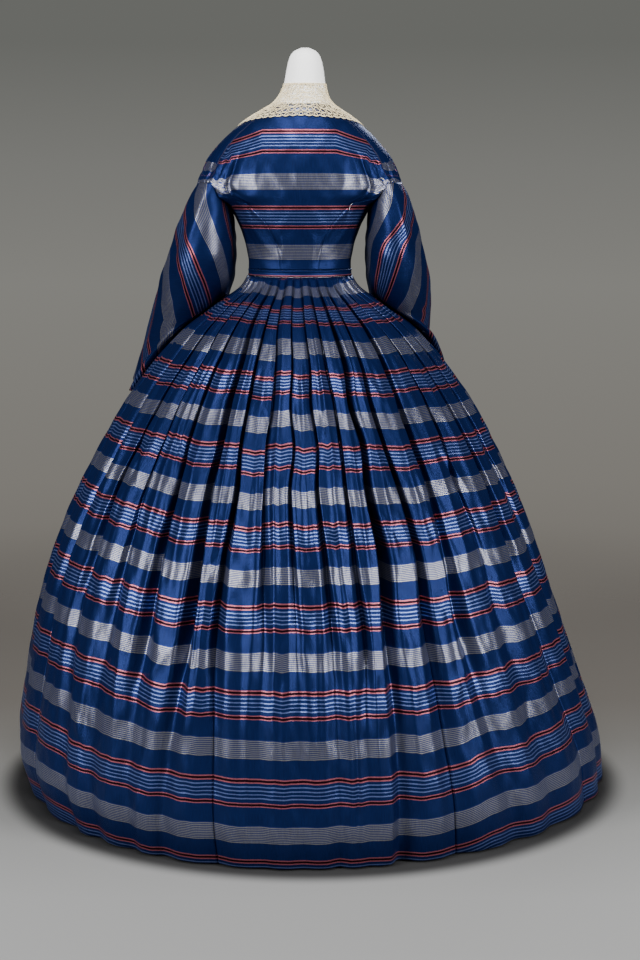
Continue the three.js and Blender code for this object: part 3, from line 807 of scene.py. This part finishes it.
# The weave round a sleeve: which part of the stripes' repeat lies at the middle of its back.
SLEEVE_WEAVE = {
    "sleeve_left": Table(
        ("height", "start"),
        (
            (1237, -0.03),
            (1211, -0.01),
            (1181, 0.056),
            (1163, 0.11),
            (1128, 0.24),
            (1110, 0.32),
            (1076, 0.46),
            (1043, 0.6),
            (1012, 0.73),
            (958, 0.95),
            (930, 1.1),
            (881, 1.4),
            (826, 1.7),
        ),
    ),
    "sleeve_right": Table(
        ("height", "start"),
        (
            (1237, 0.15),
            (1218, 0.19),
            (1199, 0.22),
            (1169, 0.33),
            (1140, 0.48),
            (1117, 0.62),
            (1076, 0.75),
            (1038, 0.87),
            (998, 1.05),
            (954, 1.35),
            (900, 1.7),
            (826, 2.1),
        ),
    ),
}

# Creases of both sleeves: from and to (angle, height), how far out, half width.
SLEEVE_CREASES = (
    (8, 1225, 30, 1090, 3.0, 10),
    (38, 1215, 60, 1040, -2.5, 11),
    (70, 1180, 84, 960, 3.0, 12),
    (20, 1100, 40, 900, -3.0, 13),
    (50, 1020, 62, 850, 3.0, 13),
    (110, 1200, 120, 980, -3.0, 12),
    (150, 1150, 150, 900, 3.0, 13),
    (200, 1120, 195, 880, -3.0, 13),
)


def clear_of_skirt(points, distance):
    """Points below the waist moved straight out, so that they clear the skirt by a distance."""
    x, y, z = points[..., 0], points[..., 1], points[..., 2]
    side = np.where(x > 0, SKIRT.at("right", z), SKIRT.at("left", z)) + distance
    end = np.where(y < 0, SKIRT.at("back", z), SKIRT.at("front", z)) + distance
    reach = np.hypot(x / side, y / end)
    reach = np.where((z < WAIST) & (reach < 1), reach, 1)
    result = points.copy()
    result[..., 0] /= reach
    result[..., 1] /= reach
    return result


def sleeve_rings(name, heights, angle):
    rows, side = SLEEVES[name], SLEEVE_SIDE[name]
    outer, inner = rows.at("outer", heights), rows.at("inner", heights)
    back, front = rows.at("back", heights), rows.at("front", heights)
    turn = np.radians(angle)
    x = side * ((outer + inner) / 2 + (outer - inner) / 2 * np.sin(turn))
    y = (front + back) / 2 - (front - back) / 2 * np.cos(turn)
    z = heights - rows.at("rise", heights) * np.cos(turn)
    opened = smoothstep(np.sin(turn), -0.5, 0.6)
    return clear_of_skirt(np.stack([x, y, z], axis=-1), SLEEVE_REST + SLEEVE_OPEN * opened)


def sleeve(name):
    side = SLEEVE_SIDE[name]
    top, bottom = SLEEVES[name].rows[0][0], SLEEVES[name].rows[-1][0]
    heights = np.linspace(top, bottom, SLEEVE_ROWS)[:, None]
    angle = np.linspace(-90, 270, SLEEVE_STEPS + 1)[None, :]
    points = sleeve_rings(name, heights + 0 * angle, angle + 0 * heights)
    ring = np.linalg.norm(np.diff(points, axis=1), axis=-1)
    across = np.concatenate([np.zeros((len(heights), 1)), np.cumsum(ring, axis=1)], axis=1)
    across -= across[:, SLEEVE_STEPS // 4][:, None]
    grown = points if side > 0 else points[:, ::-1]
    out = crease_depth(SLEEVE_CREASES, angle + 0 * heights, heights + 0 * angle, SLEEVE_RADIUS)
    out = out + 0.8 * ripples(across, heights + 0 * angle, 5, 70, 90) * smoothstep(top - heights, 0, 60)
    out[:, -1] = out[:, 0]
    grown_out = out if side > 0 else out[:, ::-1]
    grown = moved_out(grown, grown_out)
    grown[:, -1] = grown[:, 0]
    start = SLEEVE_WEAVE[name].at("start", heights)
    weave = np.stack([heights + 0 * angle, across + start * REPEAT], axis=-1)
    weave = weave if side > 0 else weave[:, ::-1]
    reach = reach_of_body(grown)
    inside = reach < 1.0
    pushed = np.where(inside, np.maximum(reach, 1e-6) / 1.004, 1)
    grown[..., 0] /= pushed
    grown[..., 1] /= pushed
    return sheet_mesh(name + "_silk", grown, weave, kept=~hidden_squares(inside), tube=True)


# ---- Lace collar ----------------------------------------------------------------------------

COLLAR_TOP = 1432
COLLAR_EDGE = Table(
    ("angle", "height"), ((0, 1370), (40, 1366), (90, 1353), (135, 1340), (170, 1322)), key="angle"
)
COLLAR_STANDOFF = 1.1
THREAD_WIDTH = 0.76  # of the width that each motif names
THREAD_SIDES = 5

LACE_ANGLES = np.linspace(-170, 170, 171)
LACE_STEPS = 60


def lace_profiles():
    """Heights up the collar at each angle, and how far along the cloth each lies from the edge."""
    edge = COLLAR_EDGE.at("height", np.abs(LACE_ANGLES))
    share = np.linspace(0, 1, LACE_STEPS)
    heights = edge[:, None] + (COLLAR_TOP - edge)[:, None] * share
    points = body_point(LACE_ANGLES[:, None] + 0 * heights, heights)
    path = np.linalg.norm(np.diff(points, axis=1), axis=-1)
    rise = np.concatenate([np.zeros((len(edge), 1)), np.cumsum(path, axis=1)], axis=1)
    return heights, rise


LACE_HEIGHTS, LACE_RISE = lace_profiles()


def lace_height(angle, rise):
    place = np.clip((angle + 170) / 2, 0, len(LACE_ANGLES) - 1.001)
    low = np.floor(place).astype(int)
    part = place - low
    result = np.empty(np.shape(angle))
    flat_low, flat_rise, flat_part = low.ravel(), np.ravel(rise), part.ravel()
    for i in range(len(flat_low)):
        a = np.interp(flat_rise[i], LACE_RISE[flat_low[i]], LACE_HEIGHTS[flat_low[i]])
        b = np.interp(flat_rise[i], LACE_RISE[flat_low[i] + 1], LACE_HEIGHTS[flat_low[i] + 1])
        extra = min(0.0, flat_rise[i])
        result.ravel()[i] = a + (b - a) * flat_part[i] + extra * 0.6
    return result


def lace_depth(angle):
    """From the scalloped edge up to the neck, along the cloth."""
    return np.interp(angle, LACE_ANGLES, LACE_RISE[:, -1])


def lace_surface(angle, rise, out):
    height = lace_height(angle, rise)
    point = body_point(angle, height)
    across = body_point(angle + 0.2, height) - body_point(angle - 0.2, height)
    down = body_point(angle, height - 0.4) - body_point(angle, height + 0.4)
    normal = np.cross(down, across)
    normal /= np.linalg.norm(normal, axis=-1, keepdims=True)
    return point + normal * (COLLAR_STANDOFF + out), normal


def lace_row(rise, pitch):
    """Angles of evenly spaced motifs in a row along the collar."""
    point, _ = lace_surface(LACE_ANGLES, np.full(len(LACE_ANGLES), float(rise)), 0)
    along = np.concatenate([[0], np.cumsum(np.linalg.norm(np.diff(point, axis=0), axis=-1))])
    count = max(2, round(along[-1] / pitch))
    places = (np.arange(count) + 0.5) * along[-1] / count
    return np.interp(places, along, LACE_ANGLES), along[-1] / count


def millimetres_per_degree(angle, rise):
    pair = np.array([angle - 1, angle + 1])
    point, _ = lace_surface(pair, np.array([rise, rise], float), 0)
    return np.linalg.norm(point[1] - point[0]) / 2


class Lace:
    """Threads of the lace: flat tapes that follow paths on the collar's surface."""

    def __init__(self):
        self.points = []
        self.faces = []
        self.net_area = 0.0

    def tape(self, angles, rises, width, thick, out=0.0, closed=False):
        width = width * THREAD_WIDTH
        sides = THREAD_SIDES
        middle, normal = lace_surface(np.array(angles, float), np.array(rises, float), out + thick / 2)
        if closed:
            ahead = np.roll(middle, -1, axis=0) - np.roll(middle, 1, axis=0)
        else:
            ahead = np.gradient(middle, axis=0)
        ahead /= np.maximum(np.linalg.norm(ahead, axis=-1, keepdims=True), 1e-9)
        aside = np.cross(ahead, normal)
        around = 2 * math.pi * np.arange(sides) / sides
        ring = (
            middle[:, None]
            + aside[:, None] * (np.cos(around) * width / 2)[None, :, None]
            + normal[:, None] * (np.sin(around) * thick / 2)[None, :, None]
        )
        count = len(middle)
        base = sum(len(part) for part in self.points)
        self.points.append(ring.reshape(-1, 3))
        turns = count if closed else count - 1
        for i in range(turns):
            for j in range(sides):
                a = base + i * sides + j
                b = base + i * sides + (j + 1) % sides
                c = base + ((i + 1) % count) * sides + (j + 1) % sides
                d = base + ((i + 1) % count) * sides + j
                self.faces.append((a, b, c, d))
        if not closed:
            self.faces.append(tuple(base + j for j in reversed(range(sides))))
            self.faces.append(tuple(base + (count - 1) * sides + j for j in range(sides)))
        length = np.linalg.norm(np.diff(middle, axis=0), axis=-1).sum()
        self.net_area += length * width

    def loop(self, angle, rise, radius, width, thick, out=0.0, steps=14):
        scale = millimetres_per_degree(angle, rise)
        turn = 2 * math.pi * np.arange(steps) / steps
        self.tape(
            angle + radius * np.cos(turn) / scale,
            rise + radius * np.sin(turn),
            width,
            thick,
            out,
            closed=True,
        )

    def rosette(self, angle, rise, radius):
        """A spiral ring of petals round an eye."""
        scale = millimetres_per_degree(angle, rise)
        self.loop(angle, rise, radius * 0.88, radius * 0.2, 1.4, 0.1, steps=24)
        turn = np.linspace(0, 1.3 * 2 * math.pi, 22)
        reach = radius * (0.1 + 0.42 * turn / turn[-1])
        self.tape(
            angle + reach * np.cos(turn) / scale, rise + reach * np.sin(turn), radius * 0.2, 1.4, 0.2
        )
        for petal in range(5):
            a = 2 * math.pi * (petal + 0.3) / 5
            b = a + 0.28
            along = np.array([0.55, 0.7, 0.84]) * radius
            bend = np.array([a, (a + b) / 2, b])
            self.tape(
                angle + along * np.cos(bend) / scale, rise + along * np.sin(bend), radius * 0.12, 1.0, 0.0
            )

    def line(self, rise, width, thick, out=0.0, wave=0.0, waves=1.0):
        angle = np.linspace(-169.5, 169.5, 300)
        room = lace_depth(angle)
        level = np.minimum(rise, room - 0.6) + wave * np.sin(waves * np.radians(angle))
        self.tape(angle, level, width, thick, out)


def lace_collar():
    lace = Lace()
    angles, pitch = lace_row(1, 14.6)
    for angle in angles:
        scale = millimetres_per_degree(angle, 1)
        turn = np.linspace(0, math.pi, 10)
        reach = pitch * 0.47
        lace.tape(angle + reach * np.cos(turn) / scale, 1.5 - reach * 0.8 * np.sin(turn), 2.0, 1.2, 0.1)
        lace.loop(angle, 1.2, 3.5, 1.9, 1.2, 0.0, steps=10)
    lace.line(6.2, 1.5, 1.2, 0.1)
    for rise, pitch, radius, width in (
        (12.4, 12.6, 5.2, 2.0),
        (46.5, 11.2, 4.6, 2.1),
        (75.5, 11.2, 4.6, 2.1),
        (104, 11.2, 4.6, 2.1),
    ):
        row, _ = lace_row(rise, pitch)
        for angle in row:
            if lace_depth(angle) > rise + 3:
                lace.loop(angle, rise, radius, width, 1.2, 0.0, steps=12)
    for rise, pitch, radius in ((29.5, 27.5, 12.3), (60.5, 24, 10.8), (90, 25, 11.4)):
        row, _ = lace_row(rise, pitch)
        for number, angle in enumerate(row):
            if lace_depth(angle) < rise + 4:
                continue
            lace.rosette(angle, rise, radius)
            if number + 1 < len(row):
                between = (angle + row[number + 1]) / 2
                for shift in (-0.62, 0.62):
                    if lace_depth(between) > rise + shift * radius + 3:
                        lace.loop(between, rise + shift * radius, radius * 0.27, 1.6, 1.2, 0.0, steps=10)
    for rise in (18.6, 41.6, 70.6, 99):
        lace.line(rise, 1.1, 1.0, 0.0, wave=0.6, waves=40)
    angle = np.linspace(-169.5, 169.5, 300)
    depth = lace_depth(angle)
    lace.tape(angle, depth - 2.5, 1.8, 1.2, 0.1)
    lace.tape(angle, depth + 0.6 + 1.7 * np.abs(np.sin(np.radians(angle) * 11)), 1.5, 1.2, 0.0)
    for end in (-169.6, 169.6):
        rises = np.linspace(2, float(lace_depth(end)) - 1, 24)
        lace.tape(np.full(24, end), rises, 2.0, 1.2, 0.1)
    obj = new_mesh("lace_threads", np.concatenate(lace.points), lace.faces)
    obj.data.polygons.foreach_set("use_smooth", [True] * len(obj.data.polygons))
    return obj, lace.net_area * METRE * METRE


# ---- Form -----------------------------------------------------------------------------------


# Heights of the form's rings, up to the waist and above it.
HIP_RINGS = (862, 868, 880, 895, 920, 950, 975, 1000, 1015, 1030, 1045)
BODY_RINGS = (
    (1064, 1078, 1100, 1115, 1130, 1145, 1160, 1176, 1192, 1202, 1212, 1223, 1234, 1246)
    + (1258, 1270, 1282, 1294, 1306, 1318, 1330, 1340, 1350, 1357, 1364, 1371, 1378, 1385)
    + (1392, 1401, 1410, 1420, 1430, 1446, 1462, 1474, 1485, 1491, 1497, 1500.5, 1503)
)
COVER_INSET = 0.2  # of the form's cover under the bodice, beyond the table's inset


def dress_form():
    """A smooth limbless torso: rings are pulled up from a disc, then fitted to the body."""
    deselect_all()
    rings = HIP_RINGS + BODY_RINGS
    bpy.ops.mesh.primitive_circle_add(
        vertices=64, radius=0.1, fill_type="NGON", location=(0, 0, rings[0] * METRE)
    )
    form = bpy.context.object
    form.name = "form_cover"
    bpy.ops.object.mode_set(mode="EDIT")
    for below, height in zip(rings, rings[1:]):
        step = (0, 0, (height - below) * METRE)
        bpy.ops.mesh.extrude_region_move(TRANSFORM_OT_translate={"value": step})
    bpy.ops.object.mode_set(mode="OBJECT")
    bpy.ops.object.transform_apply(location=True, rotation=True, scale=True)
    fit_form(form, rings)
    bpy.ops.object.mode_set(mode="EDIT")
    bpy.ops.mesh.select_all(action="SELECT")
    bpy.ops.mesh.normals_make_consistent(inside=False)
    bpy.ops.object.mode_set(mode="OBJECT")
    bpy.ops.object.shade_smooth_by_angle(angle=math.radians(50))
    return form


def fit_form(form, rings):
    """Every vertex moved to the body's outline at its ring's height, below the waist the hips'."""
    heights = np.array(rings)
    for vertex in form.data.vertices:
        height = heights[np.argmin(np.abs(heights - vertex.co.z / METRE))]
        turn = math.atan2(vertex.co.x, -vertex.co.y)
        if height in HIP_RINGS:
            round_off = 1 - 0.05 * float(height < 866)
            half = float(HIPS.at("half", height)) * round_off
            end = "back" if math.cos(turn) > 0 else "front"
            depth = float(HIPS.at(end, height)) * round_off
            point = (half * math.sin(turn), -depth * math.cos(turn), height)
        else:
            inset = float(BODY.at("inset", height)) + COVER_INSET * float(height < 1400)
            point = body_point(np.array(math.degrees(turn)), np.array(float(height)), -inset)
        vertex.co = [float(value) * METRE for value in point]


# ---- Materials ------------------------------------------------------------------------------


def from_screen(red, green, blue):
    """A colour as the eye judges it, 0 to 255, made linear."""

    def linear(value):
        value /= 255
        return value / 12.92 if value <= 0.04045 else ((value + 0.055) / 1.055) ** 2.4

    return (linear(red), linear(green), linear(blue), 1.0)


ROYAL_BLUE = from_screen(15, 26, 64)
PINK = from_screen(142, 78, 88)
PINK_LINE = from_screen(24, 4, 12)
PALE_BLUE = from_screen(84, 98, 146)
SILVER = from_screen(118, 117, 114)
SILVER_LINE = from_screen(30, 40, 88)

# The stripes' widths and places, as shares of one repeat.
SILVER_END = 0.218
SILVER_LINES = 10
PALE_LINES = (0.536, 0.585, 0.629, 0.673)
PALE_HALF_WIDTH = 0.0075


class Nodes:
    """Adds nodes to a tree and links them by socket names."""

    def __init__(self, tree):
        self.tree = tree
        tree.nodes.clear()

    def add(self, kind, inputs=None, **settings):
        node = self.tree.nodes.new(kind)
        for name, value in settings.items():
            setattr(node, name, value)
        for name, value in (inputs or {}).items():
            if isinstance(value, bpy.types.NodeSocket):
                self.tree.links.new(value, node.inputs[name])
            else:
                node.inputs[name].default_value = value
        return node

    def math(self, operation, first, second=0.0):
        node = self.add("ShaderNodeMath", {0: first, 1: second}, operation=operation)
        return node.outputs[0]

    def ramp(self, value, stops, interpolation="CONSTANT"):
        node = self.add("ShaderNodeValToRGB", {"Fac": value})
        node.color_ramp.interpolation = interpolation
        while len(node.color_ramp.elements) < len(stops):
            node.color_ramp.elements.new(1.0)
        for element, (place, colour) in zip(node.color_ramp.elements, stops):
            element.position = place
            element.color = colour
        return node.outputs["Color"]

    def mix(self, amount, first, second, blend="MIX"):
        node = self.add("ShaderNodeMix", data_type="RGBA", blend_type=blend)
        for socket, value in ((0, amount), (6, first), (7, second)):
            if isinstance(value, bpy.types.NodeSocket):
                self.tree.links.new(value, node.inputs[socket])
            else:
                node.inputs[socket].default_value = value
        return node.outputs[2]


def woven_threads_group():
    """A plain weave of crossing threads on a cloth's own map, in metres."""
    group = bpy.data.node_groups.new("woven_threads", "ShaderNodeTree")
    sockets = group.interface
    sockets.new_socket("Map", in_out="INPUT", socket_type="NodeSocketVector")
    for name in ("Across Threads", "Down Threads"):
        sockets.new_socket(name, in_out="INPUT", socket_type="NodeSocketFloat")
    sockets.new_socket("Threads", in_out="OUTPUT", socket_type="NodeSocketFloat")
    sockets.new_socket("Slubs", in_out="OUTPUT", socket_type="NodeSocketFloat")
    nodes = Nodes(group)
    given = nodes.add("NodeGroupInput")
    place = nodes.add("ShaderNodeSeparateXYZ", {0: given.outputs["Map"]})
    across = nodes.math("SINE", nodes.math("MULTIPLY", place.outputs["X"], given.outputs["Across Threads"]))
    down = nodes.math("SINE", nodes.math("MULTIPLY", place.outputs["Y"], given.outputs["Down Threads"]))
    threads = nodes.math("MULTIPLY_ADD", across, 0.3)
    threads.node.inputs[2].default_value = 0.5
    both = nodes.math("MULTIPLY_ADD", down, 0.2)
    nodes.tree.links.new(threads, both.node.inputs[2])
    stretched = nodes.add("ShaderNodeMapping", {"Vector": given.outputs["Map"], "Scale": (900, 40, 1)})
    slubs = nodes.add(
        "ShaderNodeTexNoise", {"Vector": stretched.outputs[0], "Scale": 1.0, "Detail": 2.0, "Roughness": 0.6}
    )
    made = nodes.add("NodeGroupOutput")
    nodes.tree.links.new(both, made.inputs["Threads"])
    nodes.tree.links.new(slubs.outputs[0], made.inputs["Slubs"])
    return group


THREADS = woven_threads_group()


def new_material(name):
    material = bpy.data.materials.new(name)
    material.use_nodes = True
    return material, Nodes(material.node_tree)


def finish_material(nodes, shader):
    output = nodes.add("ShaderNodeOutputMaterial")
    nodes.tree.links.new(shader.outputs[0], output.inputs["Surface"])


def striped_silk():
    """Shot silk with a silver band, pink lines in pairs and four pale lines in each repeat."""
    material, nodes = new_material("striped_silk")
    weave = nodes.add("ShaderNodeUVMap", uv_map="weave").outputs[0]
    place = nodes.add("ShaderNodeSeparateXYZ", {0: weave})
    repeat = nodes.math("FRACT", nodes.math("DIVIDE", place.outputs["Y"], REPEAT * METRE))
    stops = [(0.0, SILVER), (SILVER_END, ROYAL_BLUE)]
    stops += [(0.440, PINK), (0.454, PINK_LINE), (0.483, PINK), (0.497, ROYAL_BLUE)]
    for middle in PALE_LINES:
        stops += [(middle - PALE_HALF_WIDTH, PALE_BLUE), (middle + PALE_HALF_WIDTH, ROYAL_BLUE)]
    stops += [(0.724, PINK), (0.738, PINK_LINE), (0.762, PINK), (0.776, ROYAL_BLUE)]
    colour = nodes.ramp(repeat, stops)
    shine_of = {SILVER: 1.0, ROYAL_BLUE: 0.0, PINK: 0.6, PINK_LINE: 0.0, PALE_BLUE: 0.85}
    shine = nodes.ramp(repeat, [(at, (shine_of[c],) * 3 + (1.0,)) for at, c in stops])
    silver = nodes.math("LESS_THAN", repeat, SILVER_END)
    fine = nodes.math("FRACT", nodes.math("DIVIDE", repeat, SILVER_END / SILVER_LINES))
    dark_line = nodes.math("MULTIPLY", nodes.math("LESS_THAN", fine, 0.5), silver)
    colour = nodes.mix(dark_line, colour, SILVER_LINE)
    shine = nodes.mix(dark_line, shine, (0.2, 0.2, 0.2, 1.0))
    threads = nodes.add(
        "ShaderNodeGroup", {"Map": weave, "Across Threads": 9000.0, "Down Threads": 7000.0}, node_tree=THREADS
    )
    slubs = nodes.ramp(
        threads.outputs["Slubs"], [(0.3, (0.82, 0.82, 0.82, 1)), (0.7, (1.16, 1.16, 1.16, 1))], "LINEAR"
    )
    colour = nodes.mix(1.0, colour, slubs, "MULTIPLY")
    roughness = nodes.add("ShaderNodeMapRange", {"Value": shine, "To Min": 0.37, "To Max": 0.34})
    metal = nodes.add("ShaderNodeMapRange", {"Value": shine, "To Min": 0.55, "To Max": 0.8})
    height = nodes.math("MULTIPLY_ADD", threads.outputs["Slubs"], 1.4)
    nodes.tree.links.new(threads.outputs["Threads"], height.node.inputs[2])
    bump = nodes.add("ShaderNodeBump", {"Height": height, "Strength": 0.16, "Distance": 0.0006})
    shader = nodes.add(
        "ShaderNodeBsdfPrincipled",
        {
            "Base Color": colour,
            "Roughness": roughness.outputs[0],
            "Metallic": metal.outputs[0],
            "Normal": bump.outputs[0],
            "Specular IOR Level": 0.12,
            "Specular Tint": (0.6, 0.7, 1.0, 1.0),
        },
    )
    finish_material(nodes, shader)
    return material


def lace_thread():
    material, nodes = new_material("lace_thread")
    place = nodes.add("ShaderNodeTexCoord").outputs["Object"]
    twist = nodes.add("ShaderNodeTexNoise", {"Vector": place, "Scale": 900.0, "Detail": 2.0})
    patches = nodes.add("ShaderNodeTexNoise", {"Vector": place, "Scale": 45.0, "Detail": 2.0})
    cream = nodes.mix(patches.outputs[0], from_screen(212, 190, 140), from_screen(240, 228, 194))
    bump = nodes.add("ShaderNodeBump", {"Height": twist.outputs[0], "Strength": 0.5, "Distance": 0.0004})
    shader = nodes.add(
        "ShaderNodeBsdfPrincipled",
        {"Base Color": cream, "Roughness": 0.85, "Sheen Weight": 0.2, "Normal": bump.outputs[0]},
    )
    finish_material(nodes, shader)
    return material


def form_cover_cloth():
    material, nodes = new_material("form_cover_cloth")
    place = nodes.add("ShaderNodeTexCoord").outputs["Object"]
    threads = nodes.add(
        "ShaderNodeGroup", {"Map": place, "Across Threads": 6000.0, "Down Threads": 6000.0}, node_tree=THREADS
    )
    stain = nodes.add("ShaderNodeTexNoise", {"Vector": place, "Scale": 9.0, "Detail": 3.0})
    white = nodes.mix(stain.outputs[0], from_screen(246, 246, 245), from_screen(251, 251, 249))
    bump = nodes.add(
        "ShaderNodeBump", {"Height": threads.outputs["Threads"], "Strength": 0.2, "Distance": 0.0003}
    )
    shader = nodes.add(
        "ShaderNodeBsdfPrincipled", {"Base Color": white, "Roughness": 0.75, "Normal": bump.outputs[0]}
    )
    finish_material(nodes, shader)
    return material


def painted_steel():
    material, nodes = new_material("painted_steel")
    place = nodes.add("ShaderNodeTexCoord").outputs["Object"]
    grain = nodes.add("ShaderNodeTexNoise", {"Vector": place, "Scale": 300.0, "Detail": 3.0})
    wear = nodes.add("ShaderNodeTexNoise", {"Vector": place, "Scale": 14.0, "Detail": 5.0})
    colour = nodes.mix(wear.outputs[0], from_screen(88, 90, 92), from_screen(118, 119, 120))
    rough = nodes.add("ShaderNodeMapRange", {"Value": wear.outputs[0], "To Min": 0.32, "To Max": 0.5})
    bump = nodes.add("ShaderNodeBump", {"Height": grain.outputs[0], "Strength": 0.15, "Distance": 0.0003})
    shader = nodes.add(
        "ShaderNodeBsdfPrincipled",
        {"Base Color": colour, "Metallic": 0.7, "Roughness": rough.outputs[0], "Normal": bump.outputs[0]},
    )
    finish_material(nodes, shader)
    return material


def dress_in(obj, material):
    obj.data.materials.clear()
    obj.data.materials.append(material)


# ---- The dress ------------------------------------------------------------------------------

SILK = striped_silk()


def place_cloth(obj, node, material=SILK):
    dress_in(obj, material)
    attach(obj, "root")
    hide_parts(node)


def make_skirt():
    folds = FOLDS.rows
    seams = [number for number, row in enumerate(folds) if row[-1]]
    for place, first in enumerate(seams):
        after = seams[place + 1] if place + 1 < len(seams) else seams[0] + len(folds)
        node = folds[first][-1]
        points, weave = skirt_breadth(first, after - first)
        obj = sheet_mesh(node + "_silk", points, weave)
        place_cloth(obj, node)


def make_bodice():
    def opposite(seam):
        return lambda height: -seam(height)

    def centre_front(angle):
        return lambda height: np.full(np.shape(height), float(angle))

    pieces = (
        ("bodice_centre_back", NECKLINE, opposite(side_back_seam), side_back_seam, 150, (0.34, 0.36)),
        ("bodice_side_back_right", UNDERARM, side_back_seam, side_seam, 26, (0.14, 0.16)),
        (
            "bodice_side_back_left",
            UNDERARM,
            opposite(side_seam),
            opposite(side_back_seam),
            26,
            (0.14, 0.16),
        ),
        ("bodice_front_right", NECKLINE, side_seam, centre_front(180), 56, (0.24, 0.38)),
        ("bodice_front_left", NECKLINE, centre_front(-180), opposite(side_seam), 56, (0.24, 0.38)),
    )
    for node, top, from_seam, to_seam, columns, flat in pieces:
        obj = bodice_piece(node + "_silk", top, from_seam, to_seam, columns)
        place_cloth(obj, node)


form = dress_form()
dress_in(form, form_cover_cloth())
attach(form, "root")
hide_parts("form_torso")

place_cloth(waistband(), "waistband")
make_skirt()
make_bodice()
for sleeve_name in SLEEVES:
    place_cloth(sleeve(sleeve_name), sleeve_name)

collar, lace_area = lace_collar()
place_cloth(
    collar, "lace_collar", lace_thread()
)

STEEL = painted_steel()
for node_name in ("stand_pole", "stand_base"):
    dress_in(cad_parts[node_name], STEEL)

# ---- Studio ---------------------------------------------------------------------------------


def studio_floor():
    """A pale floor with a painted falloff of light, darker towards the back behind the dress, and a painted
    shadow round its hem; it fades into the grey room.
    """
    deselect_all()
    bpy.ops.mesh.primitive_circle_add(vertices=96, radius=4, fill_type="NGON", location=(0, 0, 0))
    floor = bpy.context.object
    floor.name = "studio_floor"
    material, nodes = new_material("studio_floor_paper")
    place = nodes.add("ShaderNodeTexCoord").outputs["Object"]
    parts = nodes.add("ShaderNodeSeparateXYZ", {0: place})
    front = nodes.add("ShaderNodeMapRange", {"Value": parts.outputs["Y"], "From Min": -0.7, "From Max": 0.5})
    # Painted falloff of light: the floor's colour darkens from the front towards the back, behind the dress.
    painted_falloff_shades = [(0.0, from_screen(133, 133, 132)), (0.35, from_screen(120, 120, 118))]
    painted_falloff_shades += [(0.75, from_screen(100, 98, 94)), (1.0, from_screen(95, 91, 86))]
    colour = nodes.ramp(front.outputs[0], painted_falloff_shades, "LINEAR")
    # Painted contact shadow: the floor's colour turns near black on an oval just round the hem.
    hem_oval = nodes.add(
        "ShaderNodeMapping", {"Vector": place, "Location": (-0.037, 0.062, 0), "Scale": (1.623, 1.775, 0)}
    )
    from_hem = nodes.add("ShaderNodeVectorMath", {0: hem_oval.outputs[0]}, operation="LENGTH")
    shade = nodes.add(
        "ShaderNodeMapRange",
        {
            "Value": from_hem.outputs["Value"],
            "From Min": 0.99,
            "From Max": 1.09,
            "To Min": 0.9,
            "To Max": 0.0,
        },
        interpolation_type="SMOOTHSTEP",
    )
    colour = nodes.mix(shade.outputs[0], colour, from_screen(12, 12, 14))
    far = nodes.add("ShaderNodeVectorMath", {0: place}, operation="LENGTH").outputs["Value"]
    fade = nodes.add(
        "ShaderNodeMapRange",
        {"Value": far, "From Min": 1.2, "From Max": 3.0, "To Min": 1.0, "To Max": 0.0},
        interpolation_type="SMOOTHSTEP",
    )
    shader = nodes.add(
        "ShaderNodeBsdfPrincipled",
        {"Base Color": colour, "Roughness": 0.9, "Specular IOR Level": 0.1, "Alpha": fade.outputs[0]},
    )
    finish_material(nodes, shader)
    dress_in(floor, material)


def studio_world():
    """The grey room that is seen, and a darker one that lights the dress."""
    world = bpy.data.worlds.new("grey_room")
    bpy.context.scene.world = world
    world.use_nodes = True
    nodes = Nodes(world.node_tree)
    way = nodes.add("ShaderNodeTexCoord").outputs["Generated"]
    up = nodes.add("ShaderNodeSeparateXYZ", {0: way}).outputs["Z"]
    level = nodes.add("ShaderNodeMapRange", {"Value": up, "From Min": -0.32, "From Max": 0.12})
    walls = [(0.0, from_screen(115, 110, 105)), (0.2, from_screen(116, 112, 106))]
    walls += [(0.35, from_screen(126, 123, 117)), (0.6, from_screen(131, 130, 125))]
    walls += [(0.75, from_screen(121, 121, 117)), (0.9, from_screen(105, 106, 102))]
    path = nodes.add("ShaderNodeLightPath")
    seen = nodes.add("ShaderNodeBackground", {"Color": nodes.ramp(level.outputs[0], walls, "LINEAR")})
    lit = nodes.add("ShaderNodeBackground", {"Color": (0.032, 0.036, 0.042, 1), "Strength": 1.0})
    both = nodes.add("ShaderNodeMixShader", {0: path.outputs["Is Camera Ray"]})
    nodes.tree.links.new(lit.outputs[0], both.inputs[1])
    nodes.tree.links.new(seen.outputs[0], both.inputs[2])
    output = nodes.add("ShaderNodeOutputWorld")
    nodes.tree.links.new(both.outputs[0], output.inputs["Surface"])


def soft_light(name, place, target, size, power):
    """A window of soft light, turned towards its target."""
    light = bpy.data.lights.new(name, "AREA")
    light.shape = "RECTANGLE"
    light.size, light.size_y = size
    light.energy = power
    obj = bpy.data.objects.new(name, light)
    obj.location = place
    x, y, z = (t - p for t, p in zip(target, place))
    obj.rotation_euler = (math.atan2(math.hypot(x, y), -z), 0, math.atan2(-x, y))
    bpy.context.scene.collection.objects.link(obj)


def studio_camera():
    camera = bpy.data.cameras.new("camera")
    camera.lens = 65.55
    camera.sensor_width = 36
    obj = bpy.data.objects.new("camera", camera)
    obj.location = (0.041, -3.6, 1.236)
    obj.rotation_euler = (math.radians(80.36), 0, 0)
    bpy.context.scene.collection.objects.link(obj)
    bpy.context.scene.camera = obj


studio_floor()
studio_world()
soft_light("left_window", (-3.0, -2.7, 1.7), (0, 0, 0.8), (1.1, 2.1), 238)
soft_light("right_window", (3.1, -2.4, 1.65), (0, 0, 0.8), (1.0, 2.1), 222)
soft_light("top_window", (-0.2, -1.5, 3.9), (0, -0.2, 0.9), (1.8, 1.0), 140)
soft_light("back_window", (0.4, 3.2, 2.6), (0, 0, 0.8), (2.2, 1.2), 60)
studio_camera()
